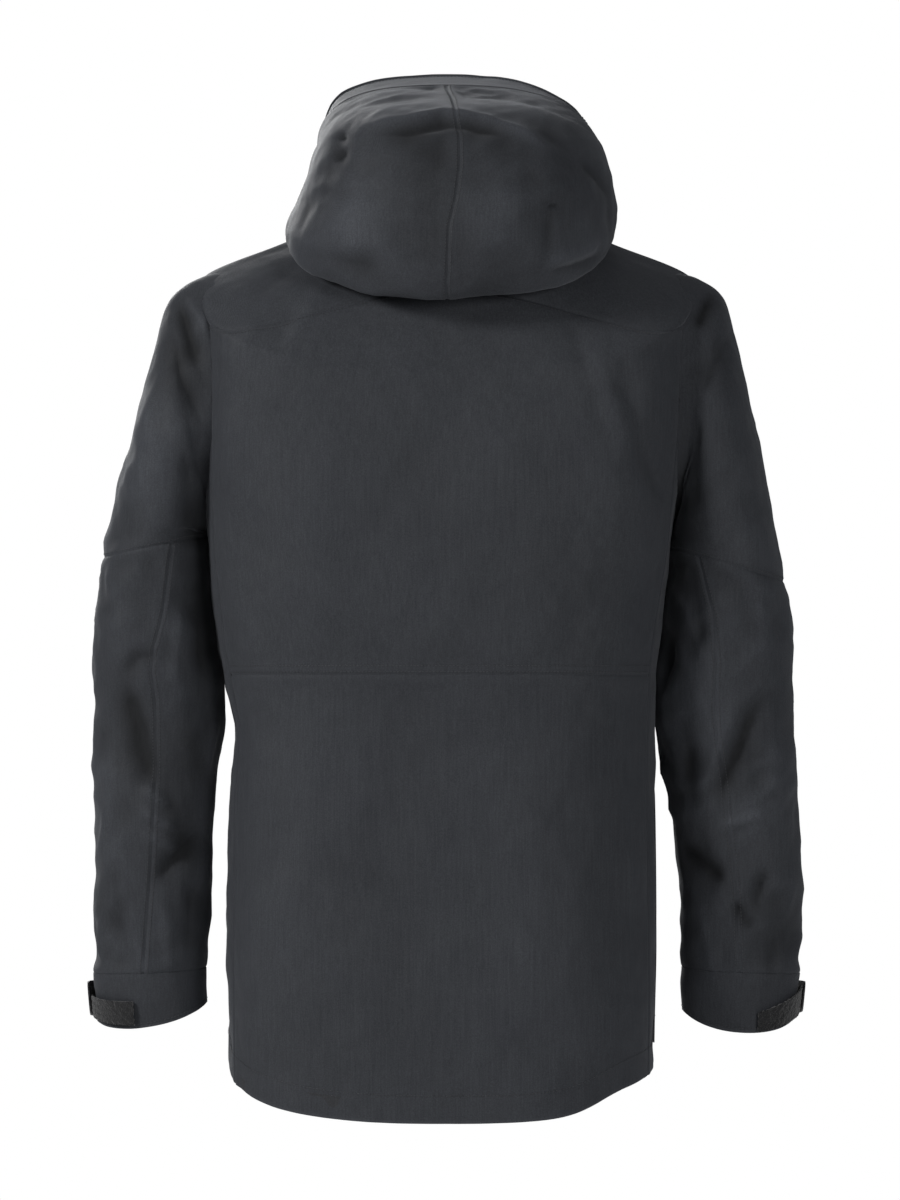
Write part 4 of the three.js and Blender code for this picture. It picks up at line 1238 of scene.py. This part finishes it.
def tab_lift(s):
    return 0.0012 + 0.0046 * smooth_rise(s, 0.0, 0.14)


def cuff_parts(side):
    turn = -1 if side == "left" else 1
    floor = -math.inf if side == "left" else 0
    low, high = [
        lambda t, start=start, rise=rise: start + rise * np.maximum(t, floor) / PATCH_END
        for start, rise in PATCH_EDGES[side]
    ]
    patch = on_cuff(side, -0.87, 1.33, low, high, 0.085, 0.02, 0.0030)
    patch = offset(patch, turn * (0.00035 * plane_waves(patch, 81, 0.0032, 30)))
    tab = on_cuff(
        side, math.radians(-82), math.radians(8), lambda t: 15.98 + tab_taper(t),
        lambda t: 16.80 - tab_taper(t), 0.075, 0.026, tab_lift,
    )
    hook = on_cuff(side, -0.62, 0.02, 16.12, 16.64, 0.036, 0.018, 0.0041)
    for name, grid, thickness, finish, hold, slot, node in (
        ("loop_patch", patch, 0.0016, LOOPS, "forearm", "hook_and_loop", "cuff_loop_patch"),
        ("cuff_tab", tab, 0.0016, TRIM, "tab", "moulded_trim", "cuff_tab"),
        ("hook_patch", hook, 0.0009, HOOKS, "tab", "hook_and_loop", "cuff_hook_patch"),
    ):
        piece = cloth(f"{name}_{side}", grid, turn, thickness, finish)
        hang(piece, f"{side}_{hold}", slot, f"{side}_{node}")


for side in ("left", "right"):
    sleeve_panels(side)
    cuff_parts(side)

# ---- Stitching ----
for name, line, up, hold in stitch_rows:
    if name.startswith(("hem", "yoke", "elbow")):
        keep = ~armhole(line)
        line, up = line[keep], up[keep]
    hang(stitches(f"stitches_{name}", line, up), hold, "shell_fabric")

# ---- CAD nodes that stay ----
CAD_FINISH = {
    "hang_loop": (WEBBING, 0.4), "main_zip_tape_left": (TAPE, 0.3), "main_zip_tape_right": (TAPE, 0.3),
    "main_zip_coil_left": (COIL, 0.5), "main_zip_coil_right": (COIL, 0.5), "zip_retainer_box": (METAL, 0.5),
    "main_zip_slider": (METAL, 0.5), "main_zip_pull": (TRIM, 0.5), "zip_garage": (FABRIC, 1.2),
}
for side in ("left", "right"):
    CAD_FINISH.update({
        f"{side}_pocket_zip": (TAPE, 0.3), f"{side}_pocket_slider": (METAL, 0.5),
        f"{side}_pocket_pull": (TRIM, 0.5), f"{side}_hem_cord_lock": (TRIM, 0.7),
        f"{side}_hem_cord_lock_button": (TRIM, 0.5),
    })
for node, (material, radius) in CAD_FINISH.items():
    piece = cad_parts[node]
    piece.data.materials.clear()
    piece.data.materials.append(material)
    bevel = piece.modifiers.new("rounded", "BEVEL")
    bevel.width = radius * MM
    bevel.segments = 2
    bevel.limit_method = "ANGLE"

# ---- Floor ----
bpy.ops.mesh.primitive_circle_add(vertices=96, radius=2.3, fill_type="NGON", location=(0, 0, -1.3))
floor = bpy.context.object
floor.name = "floor"
floor_finish = Nodes("floor_finish")
grain = floor_finish.ramp(floor_finish.noise(3.0, 4.0), (0.80, 0.80, 0.80), (0.84, 0.84, 0.84))
floor_finish.set(Base_Color=grain, Roughness=0.8)
floor.data.materials.append(floor_finish.material)
